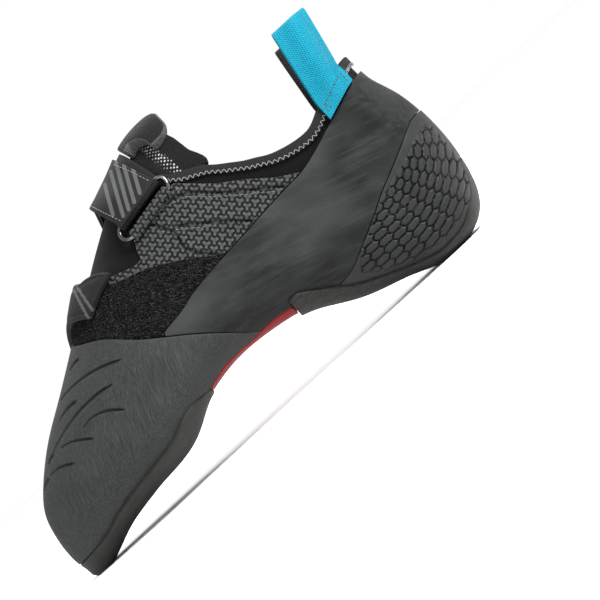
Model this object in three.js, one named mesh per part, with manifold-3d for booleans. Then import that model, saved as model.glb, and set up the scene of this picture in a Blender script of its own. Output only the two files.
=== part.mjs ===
// A climbing shoe for the left foot, bent down at the toe, in millimetres.
// It stands on its toe and heel on the plane z = 0, with the toe to -X, the outer side to -Y and +Z up.
// Every layer of the shoe is cut from one form, the last, grown outwards by the thicknesses under it.
import * as THREE from "three";
import { mergeVertices } from "three/addons/utils/BufferGeometryUtils.js";
import Module from "manifold-3d";

const wasm = await Module();
wasm.setup();

// Driving sizes, which the shares in the tables below refer to
const LENGTH = 250; // toe to heel, along the floor
const HEIGHT = 125; // floor to the instep under the strap
const WIDTH = 88; // across the ball of the foot

// The tables count LENGTH in 250 parts (x), HEIGHT in 125 (z) and WIDTH in 88 (y)
const LENGTH_PARTS = 250;
const HEIGHT_PARTS = 125;
const WIDTH_PARTS = 88;

// Thicknesses, each of its own piece
const UPPER_WALL = 2.2;
const INSOLE_THICK = 1.6;
const TONGUE_THICK = 3;
const TAB_THICK = 6.6; // the ribbon folded on the tongue, at its front
const PLATE_THICK = 1.6;
const TOE_RUBBER_THICK = 2;
const RAND_THICK = 1.6;
const HEEL_CUP_THICK = 2;
const OUTSOLE_THICK = 4.2;
const OUTSOLE_REAR = 2.4; // what it thins down to behind the ball
const HEEL_SOLE_THICK = 3.4;
const QUARTER_THICK = 1.4;
const PATCH_THICK = 1.5;
const BINDING_THICK = 1.3;
const STRAP_THICK = 1.4;
const FOREFOOT_STRAP_THICK = 2.4; // padded
const WEBBING_THICK = 1.3;
const RING_WIRE = 2.1; // diameter

// Places and widths of the fittings
const GAP = 0.3; // between two pieces that touch
const LEG_GAP = 0.8; // between a pull loop's straight legs and the round wall that they stand astride
const BINDING_WIDTH = 5; // measured straight down from the rim
const INSOLE_RISE = 7; // how far the insole's edge lies above the keel
const STRAP_LIFT = 4.2; // how far the front edge of the instep strap stands off the instep
const STRAP_BASE_LIFT = 0.4; // the same at its rear edge
const FOREFOOT_STRAP_LIFT = 1.4; // how far the forefoot strap stands off the ridge
const PULL_LOOP_SPREAD = 9; // between its two layers, at the widest
const PULL_LOOP_FOOT = 1.2; // how far above the rim its standing part begins

// Steps of the faceted forms: along the foot, and around it under and over the widest line
const STEPS_ALONG = 28;
const STEPS_UNDER = 4;
const STEPS_OVER = 8;
const STEPS_AROUND = 2 * (STEPS_UNDER + STEPS_OVER);
const RING_STEPS = 20;
const RING_SIDES = 8;
const BAR_STEPS = 5;
const BAR_SIDES = 10;
const FAR = 400; // past every side of the shoe

// The last, which is also the inside of the upper, as sections from the keel (its lowest line) to the ridge (its
// top line). The levels say where a section is widest, as a share of the way from keel to ridge. under and over
// say how full its corners are: 2 is an ellipse. The first and last rows are the closed ends. Above the collar
// the form goes on, and is cut away.
const LAST_COLUMNS = [
  "keelX", "keelZ", "ridgeX", "ridgeZ", "outer", "inner", "outerLevel", "innerLevel", "keelY", "ridgeY", "under",
  "over",
];
const LAST_ROWS = [
  [4.8, 15.6, 4.8, 15.6, 13.2, 13.2, 0.4, 0.4, 13.2, 13.2, 2.2, 2.1],
  [5.6, 9.2, 5.8, 23.8, 5.7, 19.8, 0.4, 0.42, 12.4, 13.2, 2.5, 2.1],
  [8.4, 5.1, 8.8, 33.8, -0.9, 25.5, 0.37, 0.4, 9.8, 13.2, 2.9, 2.1],
  [16.5, 8.2, 16.5, 43.2, -9.2, 30, 0.34, 0.38, 9, 12.8, 2.6, 2.1],
  [30.5, 13.5, 30.5, 55.2, -20.2, 34.8, 0.3, 0.36, 7.9, 11.9, 2.5, 2.1],
  [50, 17.4, 50, 68, -30, 38.7, 0.27, 0.34, 5.3, 10.6, 2.5, 2.1],
  [71.2, 20.3, 71.2, 82.5, -36.5, 39.5, 0.24, 0.31, 3.5, 8.8, 2.5, 2],
  [92.5, 29, 92.5, 98.5, -39.2, 36.5, 0.24, 0.32, 0.9, 7, 2.4, 2],
  [113.8, 33.4, 113.8, 112, -37.4, 30.6, 0.23, 0.33, -0.9, 4.4, 2.3, 1.95],
  [135, 32.6, 135, 125, -34.1, 26.6, 0.2, 0.31, -1.8, 2.6, 2.3, 1.9],
  [155, 28.2, 154, 131, -31.3, 25.7, 0.18, 0.27, -1.8, 0.9, 2.3, 1.85],
  [176.2, 17.4, 172.5, 136, -28.2, 25.5, 0.18, 0.23, -0.9, 0, 2.3, 1.75],
  [196.2, 10.9, 187.5, 138.2, -26.8, 26, 0.19, 0.21, 0, 0, 2.6, 1.7],
  [215, 4.7, 198.8, 139, -26, 26, 0.2, 0.2, 0, 0, 3, 1.65],
  [230.5, 7.9, 203, 139.5, -24.8, 24.8, 0.22, 0.22, 0, 0, 2.7, 1.65],
  [239.6, 17, 205, 140, -22.9, 22.9, 0.3, 0.3, 0, 0, 2, 1.7],
  [243.4, 32.5, 206, 140.5, -21.6, 21.6, 0.42, 0.42, 0, 0, 1.7, 1.7],
  [244, 50, 207, 141, -20.4, 20.4, 0.5, 0.5, 0, 0, 1.6, 1.75],
  [242, 65.5, 208, 141.5, -18.8, 18.8, 0.56, 0.56, 0, 0, 1.55, 1.8],
  [236.8, 81.2, 209, 142, -17, 17, 0.56, 0.56, 0, 0, 1.6, 1.8],
  [235.8, 97.5, 211, 142.5, -14.5, 14.5, 0.52, 0.52, 0, 0, 1.7, 1.9],
  [235.4, 116, 216, 142.5, -10.5, 10.5, 0.5, 0.5, 0, 0, 1.8, 2],
  [230, 137, 230, 137, 0, 0, 0.5, 0.5, 0, 0, 2, 2],
];

// Edges of the pieces in side view, toe to heel, as rows of x and z
const SOLE_EDGE = [
  [-9, 7], [3, 9], [20, 11], [30, 14], [40, 16.5], [50, 18.2], [60, 19.8], [70, 21.5], [75, 23.5], [80, 26],
  [85, 27.5], [90, 28.3], [97.4, 28],
];
const PLATE_EDGE = [
  [97.8, 28.2], [105, 30.2], [110, 31.2], [118, 31.5], [125, 31.3], [131, 31.6], [136, 31.7], [142, 31.2], [148, 30],
];
const HEEL_SOLE_EDGE = [
  [148.3, 32.6], [153, 33], [158, 30], [163, 26.5], [168, 23], [173, 19.5], [180, 15.5], [190, 11], [200, 7],
  [210, 4.3], [215, 3.9], [220, 4], [226, 5], [232, 8], [238, 13], [243, 20], [246, 28], [256, 29],
];
const HEEL_CUP_EDGE = [
  [169, 22.6], [171, 23.5], [175, 24], [180, 25.5], [185, 28], [191, 31], [200, 35.5], [210, 41], [220, 45.5],
  [230, 50.2], [238, 54], [243, 55.5], [258, 55.7],
];
const TOE_RUBBER_EDGE = [
  [52, 92], [64, 83], [75, 77.5], [80, 74], [90, 65], [98, 59], [110, 50], [120, 41], [128, 33.7], [130.9, 31.9],
];
const RAND_EDGE = [
  [98, 60], [110, 61.5], [120, 64], [130, 65.5], [140, 66.7], [150, 67.5], [160, 68.5], [170, 69.5], [180, 70.3],
  [190, 71], [200, 73.5], [210, 77], [220, 80.5], [230, 84], [238, 86], [256, 87],
];
const PATCH_EDGE = [[84, 106], [92, 93.5], [100, 89], [112, 85], [120, 81], [130, 75], [137, 70], [142, 66.9]];
const QUARTER_TOP = [[93, 95.6], [100, 93], [112, 90], [115, 95], [117.8, 99.4]];
const QUARTER_REAR = [[142.6, 104.6], [146, 105], [150, 101.5], [160, 92.5], [170, 85.5], [180, 77.5], [190, 71.4]];
const INNER_QUARTER = [
  [98.6, 60.6], [80.6, 74.6], [73, 79.6], [86, 88], [100, 94], [117.8, 101], [142.6, 104.6], [146, 105],
  [150, 101.5], [160, 92.5], [170, 85.5], [180, 77.5], [190, 71.4],
];
const RIM = [
  [126, 146], [133, 133], [138, 124], [145, 112], [150, 108], [160, 103], [165, 99], [170, 95.5], [175, 92],
  [180, 89.3], [185, 86.5], [190, 84.8], [195, 83.6], [200, 82.9], [205, 83], [210, 84.5], [216, 87.6], [224, 90.6],
  [232, 93.4], [238, 95.4], [256, 96],
];
const TONGUE_OUTLINE = [[114, 102], [163, 102], [161, 112], [159.6, 120], [157.5, 126], [154, 146], [100, 146]];
const TAB_OUTLINE = [
  [138.4, 131], [143, 132], [147, 130.6], [149.4, 127.5], [150, 124], [157, 124.4], [161, 128], [158, 146],
  [134, 146],
];

// The two layers of the instep strap in side view, from the ring over the ridge and down the inner side
const STRAP_OUTER = [[116.6, 106.2], [111.3, 120.6], [107.3, 134], [127.5, 145], [133.5, 131.2], [141.4, 111.4]];
const STRAP_INNER = [
  [96, 76], [104, 98], [111.3, 120.6], [107.3, 134], [127.5, 145], [133.5, 131.2], [127, 103], [119, 76],
];
const UNDER_STRAP_OUTER = [[116.6, 106.2], [112.3, 120.6], [108.3, 134], [131, 145], [138.6, 128], [143, 111.8]];
const UNDER_STRAP_INNER = [
  [97, 76], [105, 98], [112.3, 120.6], [108.3, 134], [131, 145], [138.6, 128], [130, 103], [121, 76],
];
// The forefoot strap from above, as x and y: from its free end over the ridge to the inner side
const FOREFOOT_STRAP = [
  [79.3, -22.8], [99.4, -28.4], [86, -10], [81.6, 8], [74.5, 33], [58.5, 33], [67.5, 9], [72.6, -9],
];

// Places in the same parts, where a form passes from one shape to another
const SOLE_TAPER = [75, 97]; // x between which the outsole thins
const SOLE_TURN = [0.25, 0.9]; // how far down the sole faces where it has its edge's thickness, and its full one
const INSOLE_ROWS = [3, 15]; // of the last, from and to
const TAB_FOLD = [140, 161]; // x of the tab's full front and its thin rear
const PANELS_MEET = 15; // y where the loop patch ends and the inner quarter begins
const BINDING_FRONT = 144; // x
// The strap's lift ends between the x of front and rear, and grows between the z of low and high
const STRAP_STANDS = { front: 111, rear: 134, low: 100, high: 118 };
const STRAP_CLOSES = [108, 121]; // z between which its two layers come together above the ring
const STRAP_HALVES = 2; // y where the outer and the inner outline of the strap meet
const STRAP_SETTLES = 11; // y by which the strap lies on the inner quarter
const FREE_END = -22; // y by which the forefoot strap lies on the loop patch
const FOREFOOT_CUT = 57; // z over which the forefoot strap is cut out

// The ring's bars in side view: their ends at the front and the rear
const RING_LOWER_BAR = [[117.8, 99.4], [142.6, 104.6]];
const RING_UPPER_BAR = [[116.4, 106.2], [141.2, 111.4]];
const RING_ENDS = [[113.9, 101.9], [144.4, 109.4]];

// The pull loops: x of the two sides at the base, z of the end inside the shoe and of the fold, and how far the
// loop leans to the rear
const OUTER_LOOP = { side: -1, front: 214.8, rear: 233.6, inside: 84, fold: 124, lean: 6 };
const INNER_LOOP = { side: 1, front: 214.4, rear: 233, inside: 84, fold: 118.5, lean: 4 };

const COLUMN = Object.fromEntries(LAST_COLUMNS.map((name, index) => [name, index]));
const { clamp, lerp, smoothstep } = THREE.MathUtils;

const LENGTH_UNIT = LENGTH / LENGTH_PARTS;
const HEIGHT_UNIT = HEIGHT / HEIGHT_PARTS;
const WIDTH_UNIT = WIDTH / WIDTH_PARTS;

// Layers, as distances from the inside of the upper
const OVER_UPPER = UPPER_WALL + GAP;
const FOLD_RADIUS = RING_WIRE / 2 + GAP + STRAP_THICK; // of a strap folded round the ring
const RING_HEIGHT = OVER_UPPER + GAP + FOLD_RADIUS;

// One column of the table between two rows, as a smooth curve through them
function column(name, at) {
  const row = Math.min(Math.floor(at), LAST_ROWS.length - 2);
  const value = (index) => LAST_ROWS[clamp(index, 0, LAST_ROWS.length - 1)][COLUMN[name]];
  const [before, from, to, after] = [value(row - 1), value(row), value(row + 1), value(row + 2)];
  const t = at - row;
  const leave = (to - before) / 2;
  const arrive = (after - from) / 2;
  const bend = 2 * (from - to) + leave + arrive;
  return ((bend * t + (3 * (to - from) - 2 * leave - arrive)) * t + leave) * t + from;
}

// A point of the last. at runs over the rows, turn from the keel up the outer side (1 at its widest, 2 at the
// ridge) and down the inner side (3 at its widest, 4 at the keel again).
function lastPoint(at, turn) {
  const around = ((turn % 4) + 4) % 4;
  const isOuter = around < 2;
  const fromKeel = isOuter ? around : 4 - around;
  const isUnder = fromKeel < 1;
  const angle = ((isUnder ? fromKeel : 2 - fromKeel) * Math.PI) / 2;
  const side = column(isOuter ? "outer" : "inner", at);
  const widest = column(isOuter ? "outerLevel" : "innerLevel", at);
  const power = 2 / column(isUnder ? "under" : "over", at);
  const middle = column(isUnder ? "keelY" : "ridgeY", at);
  const reach = Math.sin(angle) ** power;
  const fall = Math.cos(angle) ** power;
  const level = isUnder ? widest * (1 - fall) : widest + (1 - widest) * fall;
  return new THREE.Vector3(
    lerp(column("keelX", at), column("ridgeX", at), level) * LENGTH_UNIT,
    lerp(middle, side, reach) * WIDTH_UNIT,
    lerp(column("keelZ", at), column("ridgeZ", at), level) * HEIGHT_UNIT,
  );
}

function lastNormal(at, turn) {
  const step = 0.04;
  const along = lastPoint(Math.min(at + step, LAST_ROWS.length - 1), turn)
    .sub(lastPoint(Math.max(at - step, 0), turn));
  const around = lastPoint(at, turn + step).sub(lastPoint(at, turn - step));
  return along.cross(around).normalize();
}

// A point at a distance out from the last. thickness is a number, or a function of the point and its normal.
function grownPoint(at, turn, thickness) {
  const point = lastPoint(at, turn);
  const normal = lastNormal(at, turn);
  const distance = typeof thickness === "function" ? thickness(point, normal) : thickness;
  return point.addScaledVector(normal, distance);
}

// The point that side view shows at x and z, on the outer (-1) or inner (1) side, a distance out from the last
function sidePoint(x, z, side, distance) {
  let at = 10;
  let turn = side < 0 ? 1.3 : 2.7;
  const step = 0.01;
  for (let round = 0; round < 40; round += 1) {
    const here = grownPoint(at, turn, distance);
    const along = grownPoint(at + step, turn, distance).sub(here).divideScalar(step);
    const around = grownPoint(at, turn + step, distance).sub(here).divideScalar(step);
    const area = along.x * around.z - along.z * around.x;
    const missX = x - here.x;
    const missZ = z - here.z;
    at += clamp((missX * around.z - missZ * around.x) / area, -1, 1);
    turn += clamp((along.x * missZ - along.z * missX) / area, -0.2, 0.2);
    at = clamp(at, 1, LAST_ROWS.length - 2);
    turn = side < 0 ? clamp(turn, 0.1, 1.98) : clamp(turn, 2.02, 3.9);
  }
  return grownPoint(at, turn, distance);
}

function solidOf(positions, triangles) {
  const mesh = new wasm.Mesh({
    numProp: 3,
    vertProperties: new Float32Array(positions),
    triVerts: new Uint32Array(triangles),
  });
  return new wasm.Manifold(mesh);
}

function solidOfGeometry(geometry) {
  geometry.deleteAttribute("normal");
  geometry.deleteAttribute("uv");
  const merged = mergeVertices(geometry);
  return solidOf(merged.attributes.position.array, merged.index.array);
}

// The last grown outwards, as a closed solid
function grown(thickness) {
  const turnOf = (step) => {
    const half = STEPS_UNDER + STEPS_OVER;
    const fromKeel = step <= half ? step : 2 * half - step;
    const turn = fromKeel <= STEPS_UNDER ? fromKeel / STEPS_UNDER : 1 + (fromKeel - STEPS_UNDER) / STEPS_OVER;
    return step <= half ? turn : 4 - turn;
  };
  const lastRow = LAST_ROWS.length - 1;
  const positions = [];
  const addPoint = (point) => positions.push(point.x, point.y, point.z);
  const distance = typeof thickness === "function" ? thickness(lastPoint(0, 0), new THREE.Vector3(-1, 0, 0))
    : thickness;
  addPoint(lastPoint(0, 0).add(new THREE.Vector3(-distance, 0, 0)));
  for (let i = 1; i < STEPS_ALONG; i += 1) {
    for (let j = 0; j < STEPS_AROUND; j += 1) {
      addPoint(grownPoint((i / STEPS_ALONG) * lastRow, turnOf(j), thickness));
    }
  }
  addPoint(lastPoint(lastRow, 0).add(new THREE.Vector3(distance, 0, 0)));
  const triangles = [];
  const index = (i, j) => 1 + (i - 1) * STEPS_AROUND + (j % STEPS_AROUND);
  const end = positions.length / 3 - 1;
  for (let j = 0; j < STEPS_AROUND; j += 1) {
    triangles.push(0, index(1, j), index(1, j + 1));
    triangles.push(end, index(STEPS_ALONG - 1, j + 1), index(STEPS_ALONG - 1, j));
    for (let i = 1; i < STEPS_ALONG - 1; i += 1) {
      triangles.push(index(i, j), index(i + 1, j), index(i + 1, j + 1));
      triangles.push(index(i, j), index(i + 1, j + 1), index(i, j + 1));
    }
  }
  return solidOf(positions, triangles);
}

// Lines and outlines in side view, in millimetres
const inSideView = (rows) => rows.map(([x, z]) => [x * LENGTH_UNIT, z * HEIGHT_UNIT]);
const moved = (line, alongX, alongZ) => line.map(([x, z]) => [x + alongX, z + alongZ]);
const reversed = (line) => [...line].reverse();
const under = (line) => [...line, [line.at(-1)[0], -FAR], [line[0][0], -FAR]];
const over = (line) => [...line, [line.at(-1)[0], FAR], [line[0][0], FAR]];

function shapeOf(outline) {
  return new THREE.Shape(outline.map(([x, y]) => new THREE.Vector2(x, y)));
}

// A side view outline made a solid across the shoe, from one y to another
function across(outline, from = -FAR, to = FAR) {
  const geometry = new THREE.ExtrudeGeometry(shapeOf(outline), { depth: to - from, bevelEnabled: false });
  return solidOfGeometry(geometry.rotateX(Math.PI / 2).translate(0, to, 0));
}

// An outline in plan made a solid that stands at a height
function upright(outline, from) {
  const geometry = new THREE.ExtrudeGeometry(shapeOf(outline), { depth: FAR, bevelEnabled: false });
  return solidOfGeometry(geometry.translate(0, 0, from));
}

function layer(from, to) {
  return grown(to).subtract(grown(from));
}

// A round bar along points, open at its ends
function bar(points, radius, steps, sides = BAR_SIDES) {
  const path = new THREE.CatmullRomCurve3(points);
  const section = new THREE.Shape();
  for (let side = 0; side < sides; side += 1) {
    const angle = (side / sides) * 2 * Math.PI;
    const corner = [radius * Math.cos(angle), radius * Math.sin(angle)];
    if (side === 0) section.moveTo(...corner);
    else section.lineTo(...corner);
  }
  const options = { steps, extrudePath: path, bevelEnabled: false };
  return solidOfGeometry(new THREE.ExtrudeGeometry(section, options));
}

const soleEdge = inSideView(SOLE_EDGE);
const plateEdge = inSideView(PLATE_EDGE);
const heelSoleEdge = inSideView(HEEL_SOLE_EDGE);
const heelCupEdge = inSideView(HEEL_CUP_EDGE);
const toeRubberEdge = inSideView(TOE_RUBBER_EDGE);
const randEdge = inSideView(RAND_EDGE);
const patchEdge = inSideView(PATCH_EDGE);
const quarterTop = inSideView(QUARTER_TOP);
const quarterRear = inSideView(QUARTER_REAR);
const rim = inSideView(RIM);

// Upper, tongue and insole
function makeUpper() {
  const open = over(rim);
  return layer(0, UPPER_WALL).subtract(across(open));
}

function makeTongue() {
  return layer(-GAP - TONGUE_THICK, -GAP).intersect(across(inSideView(TONGUE_OUTLINE)));
}

function makeTongueTab() {
  const [front, rear] = TAB_FOLD.map((x) => x * LENGTH_UNIT);
  const fold = ({ x }) => TAB_THICK * Math.sqrt(1 - clamp((x - front) / (rear - front), 0, 0.98) ** 2);
  return layer(0, fold).intersect(across(inSideView(TAB_OUTLINE)));
}

function makeInsole() {
  const keel = LAST_ROWS.slice(...INSOLE_ROWS).map((row) => [row[COLUMN.keelX], row[COLUMN.keelZ]]);
  const edge = moved(inSideView(keel), 0, INSOLE_RISE);
  return layer(-GAP - INSOLE_THICK, -GAP).intersect(across(under(edge)));
}

// Soles: flush with the rubber at their edge, and thicker under the foot
function soleThickness(edge, full, rear) {
  return (point, normal) => {
    const [taper, end] = SOLE_TAPER.map((x) => x * LENGTH_UNIT);
    const middle = lerp(full, rear, smoothstep(point.x, taper, end));
    return OVER_UPPER + lerp(edge, middle, smoothstep(-normal.z, ...SOLE_TURN));
  };
}

const aboveFloor = () => across([[-FAR, 0], [FAR, 0], [FAR, FAR], [-FAR, FAR]]);

function makeOutsole() {
  const sole = layer(OVER_UPPER, soleThickness(TOE_RUBBER_THICK, OUTSOLE_THICK, OUTSOLE_REAR));
  return sole.intersect(across(under(soleEdge))).intersect(aboveFloor());
}

function makeHeelSole() {
  const sole = layer(OVER_UPPER, soleThickness(HEEL_CUP_THICK, HEEL_SOLE_THICK, HEEL_SOLE_THICK));
  return sole.intersect(across(under(heelSoleEdge))).intersect(aboveFloor());
}

function makePlate() {
  return layer(OVER_UPPER, OVER_UPPER + PLATE_THICK).intersect(across(under(plateEdge)));
}

// Rubber round the foot
function makeToeRubber() {
  const lower = [...moved(soleEdge, 0, GAP), ...moved(plateEdge, 0, GAP).filter(([x]) => x < toeRubberEdge.at(-1)[0])];
  const outline = [...lower, ...reversed(toeRubberEdge), [-FAR, FAR]];
  return layer(OVER_UPPER, OVER_UPPER + TOE_RUBBER_THICK).intersect(across(outline));
}

function makeRand() {
  const front = moved(toeRubberEdge, GAP, GAP).filter(([x]) => x > randEdge[0][0]);
  const plate = moved(plateEdge, 0, GAP).filter(([x]) => x > front.at(-1)[0]);
  const heel = moved(heelSoleEdge, 0, GAP).filter(([x]) => x < heelCupEdge[0][0]);
  const outline = [...front, ...plate, ...heel, ...moved(heelCupEdge, 0, GAP), ...reversed(randEdge)];
  return layer(OVER_UPPER, OVER_UPPER + RAND_THICK).intersect(across(outline));
}

function makeHeelCup() {
  const lower = moved(heelSoleEdge, 0, GAP).filter(([x]) => x > heelCupEdge[0][0]);
  const outline = [...lower, ...reversed(heelCupEdge)];
  return layer(OVER_UPPER, OVER_UPPER + HEEL_CUP_THICK).intersect(across(outline));
}

// Panels above the rubber
function quarterOutline() {
  const lower = moved(randEdge, 0, GAP).filter(([x]) => x > patchEdge.at(-1)[0] && x < quarterRear.at(-1)[0]);
  const front = moved(patchEdge, GAP, GAP).filter(([x]) => x > quarterTop[0][0]);
  return [...quarterTop, ...quarterRear, ...reversed(lower), ...reversed(front)];
}

function innerQuarterOutline() {
  const upper = inSideView(INNER_QUARTER);
  const lower = moved(randEdge, 0, GAP).filter(([x]) => x > upper[0][0] && x < upper.at(-1)[0]);
  return [...upper, ...reversed(lower)];
}

function ringPoints(rows, side = -1) {
  return inSideView(rows).map(([x, z]) => sidePoint(x, z, side, RING_HEIGHT));
}

function barPoints([[fromX, fromZ], [toX, toZ]]) {
  const rows = [0, 0.25, 0.5, 0.75, 1].map((share) => [lerp(fromX, toX, share), lerp(fromZ, toZ, share)]);
  return ringPoints(rows);
}

function ringTube(radius) {
  const rows = [
    RING_ENDS[0], RING_LOWER_BAR[0], ...barRows(RING_LOWER_BAR), RING_LOWER_BAR[1], RING_ENDS[1],
    RING_UPPER_BAR[1], ...reversed(barRows(RING_UPPER_BAR)), RING_UPPER_BAR[0],
  ];
  const path = new THREE.CatmullRomCurve3(ringPoints(rows), true, "catmullrom", 0.6);
  return solidOfGeometry(new THREE.TubeGeometry(path, RING_STEPS, radius, RING_SIDES, true));
}

function barRows([from, to]) {
  return [0.33, 0.67].map((share) => [lerp(from[0], to[0], share), lerp(from[1], to[1], share)]);
}

function makeOuterQuarter() {
  const panel = layer(OVER_UPPER, OVER_UPPER + QUARTER_THICK).intersect(across(quarterOutline(), -FAR, 0));
  const hem = bar(barPoints(RING_LOWER_BAR), RING_WIRE / 2 + GAP + QUARTER_THICK, BAR_STEPS);
  return panel.add(hem.subtract(grown(OVER_UPPER))).subtract(ringTube(RING_WIRE / 2 + GAP));
}

function makeInnerQuarter() {
  const from = PANELS_MEET * WIDTH_UNIT + 2 * GAP;
  return layer(OVER_UPPER, OVER_UPPER + QUARTER_THICK).intersect(across(innerQuarterOutline(), from));
}

function makeLoopPatch() {
  const front = moved(toeRubberEdge, GAP, GAP).filter(([x]) => x < randEdge[0][0]);
  const lower = moved(randEdge, 0, GAP).filter(([x]) => x < patchEdge.at(-1)[0]);
  const outline = [...front, ...lower, ...reversed(patchEdge)];
  return layer(OVER_UPPER, OVER_UPPER + PATCH_THICK).intersect(across(outline, -FAR, PANELS_MEET * WIDTH_UNIT));
}

function makeBinding() {
  const top = rim.filter(([x]) => x > BINDING_FRONT * LENGTH_UNIT);
  const outline = [...top, ...reversed(moved(top, 0, -BINDING_WIDTH))];
  return layer(OVER_UPPER, OVER_UPPER + BINDING_THICK).intersect(across(outline));
}

// Straps
function strapLift(point) {
  const { front, rear, low, high } = STRAP_STANDS;
  const lift = lerp(STRAP_LIFT, STRAP_BASE_LIFT, smoothstep(point.x, front * LENGTH_UNIT, rear * LENGTH_UNIT));
  const onInner = smoothstep(point.y, 0, STRAP_SETTLES * WIDTH_UNIT);
  const seat = lerp(RING_HEIGHT - FOLD_RADIUS, OVER_UPPER + QUARTER_THICK + GAP, onInner);
  return seat + lift * smoothstep(point.z, low * HEIGHT_UNIT, high * HEIGHT_UNIT);
}

// What lies between the two layers: the ring at the outer side, and nothing from the ridge on
function strapSpread(point) {
  const [low, high] = STRAP_CLOSES.map((z) => z * HEIGHT_UNIT);
  const open = point.y > 0 ? 0 : 1 - smoothstep(point.z, low, high);
  return lerp(GAP, 2 * (FOLD_RADIUS - STRAP_THICK), open);
}

function strapLayer(from, outer, inner) {
  const meet = STRAP_HALVES * WIDTH_UNIT;
  const band = across(inSideView(outer), -FAR, meet + GAP).add(across(inSideView(inner), meet));
  return grown((point) => from(point) + STRAP_THICK).subtract(grown(from)).intersect(band);
}

function makeInstepStrap() {
  const lower = strapLayer(strapLift, UNDER_STRAP_OUTER, UNDER_STRAP_INNER);
  const upper = strapLayer((point) => strapLift(point) + STRAP_THICK + strapSpread(point), STRAP_OUTER, STRAP_INNER);
  const fold = bar(barPoints(RING_UPPER_BAR), FOLD_RADIUS, BAR_STEPS);
  return lower.add(upper).add(fold).subtract(ringTube(RING_WIRE / 2 + GAP));
}

function makeForefootStrap() {
  const outline = FOREFOOT_STRAP.map(([x, y]) => [x * LENGTH_UNIT, y * WIDTH_UNIT]);
  const from = OVER_UPPER + Math.max(PATCH_THICK, TOE_RUBBER_THICK) + GAP;
  const seat = ({ y }) => from + FOREFOOT_STRAP_LIFT * smoothstep(y, FREE_END * WIDTH_UNIT, 0);
  const solid = grown((point) => seat(point) + FOREFOOT_STRAP_THICK).subtract(grown(seat));
  return solid.intersect(upright(outline, FOREFOOT_CUT * HEIGHT_UNIT));
}

// A sheet of even thickness about a grid of points
function sheet(grid, thickness) {
  const [rows, columns] = [grid.length, grid[0].length];
  const positions = [];
  for (const face of [1, -1]) {
    for (let i = 0; i < rows; i += 1) {
      for (let j = 0; j < columns; j += 1) {
        const along = grid[Math.min(i + 1, rows - 1)][j].clone().sub(grid[Math.max(i - 1, 0)][j]);
        const beside = grid[i][Math.min(j + 1, columns - 1)].clone().sub(grid[i][Math.max(j - 1, 0)]);
        const normal = beside.cross(along).normalize();
        positions.push(...grid[i][j].clone().addScaledVector(normal, (face * thickness) / 2).toArray());
      }
    }
  }
  const triangles = [];
  const quad = (a, b, c, d) => triangles.push(a, b, c, a, c, d);
  const top = (i, j) => i * columns + j;
  const bottom = (i, j) => (rows + i) * columns + j;
  for (let i = 0; i < rows - 1; i += 1) {
    for (let j = 0; j < columns - 1; j += 1) {
      quad(top(i, j), top(i, j + 1), top(i + 1, j + 1), top(i + 1, j));
      quad(bottom(i, j), bottom(i + 1, j), bottom(i + 1, j + 1), bottom(i, j + 1));
    }
    quad(top(i, 0), top(i + 1, 0), bottom(i + 1, 0), bottom(i, 0));
    quad(top(i + 1, columns - 1), top(i, columns - 1), bottom(i, columns - 1), bottom(i + 1, columns - 1));
  }
  for (let j = 0; j < columns - 1; j += 1) {
    quad(top(0, j + 1), top(0, j), bottom(0, j), bottom(0, j + 1));
    quad(top(rows - 1, j), top(rows - 1, j + 1), bottom(rows - 1, j + 1), bottom(rows - 1, j));
  }
  return solidOf(positions, triangles);
}

// A height on a line in side view
function heightAt(line, x) {
  const index = line.findIndex(([lineX]) => lineX > x);
  const [[fromX, fromZ], [toX, toZ]] = [line[index - 1], line[index]];
  return lerp(fromZ, toZ, (x - fromX) / (toX - fromX));
}

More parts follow.
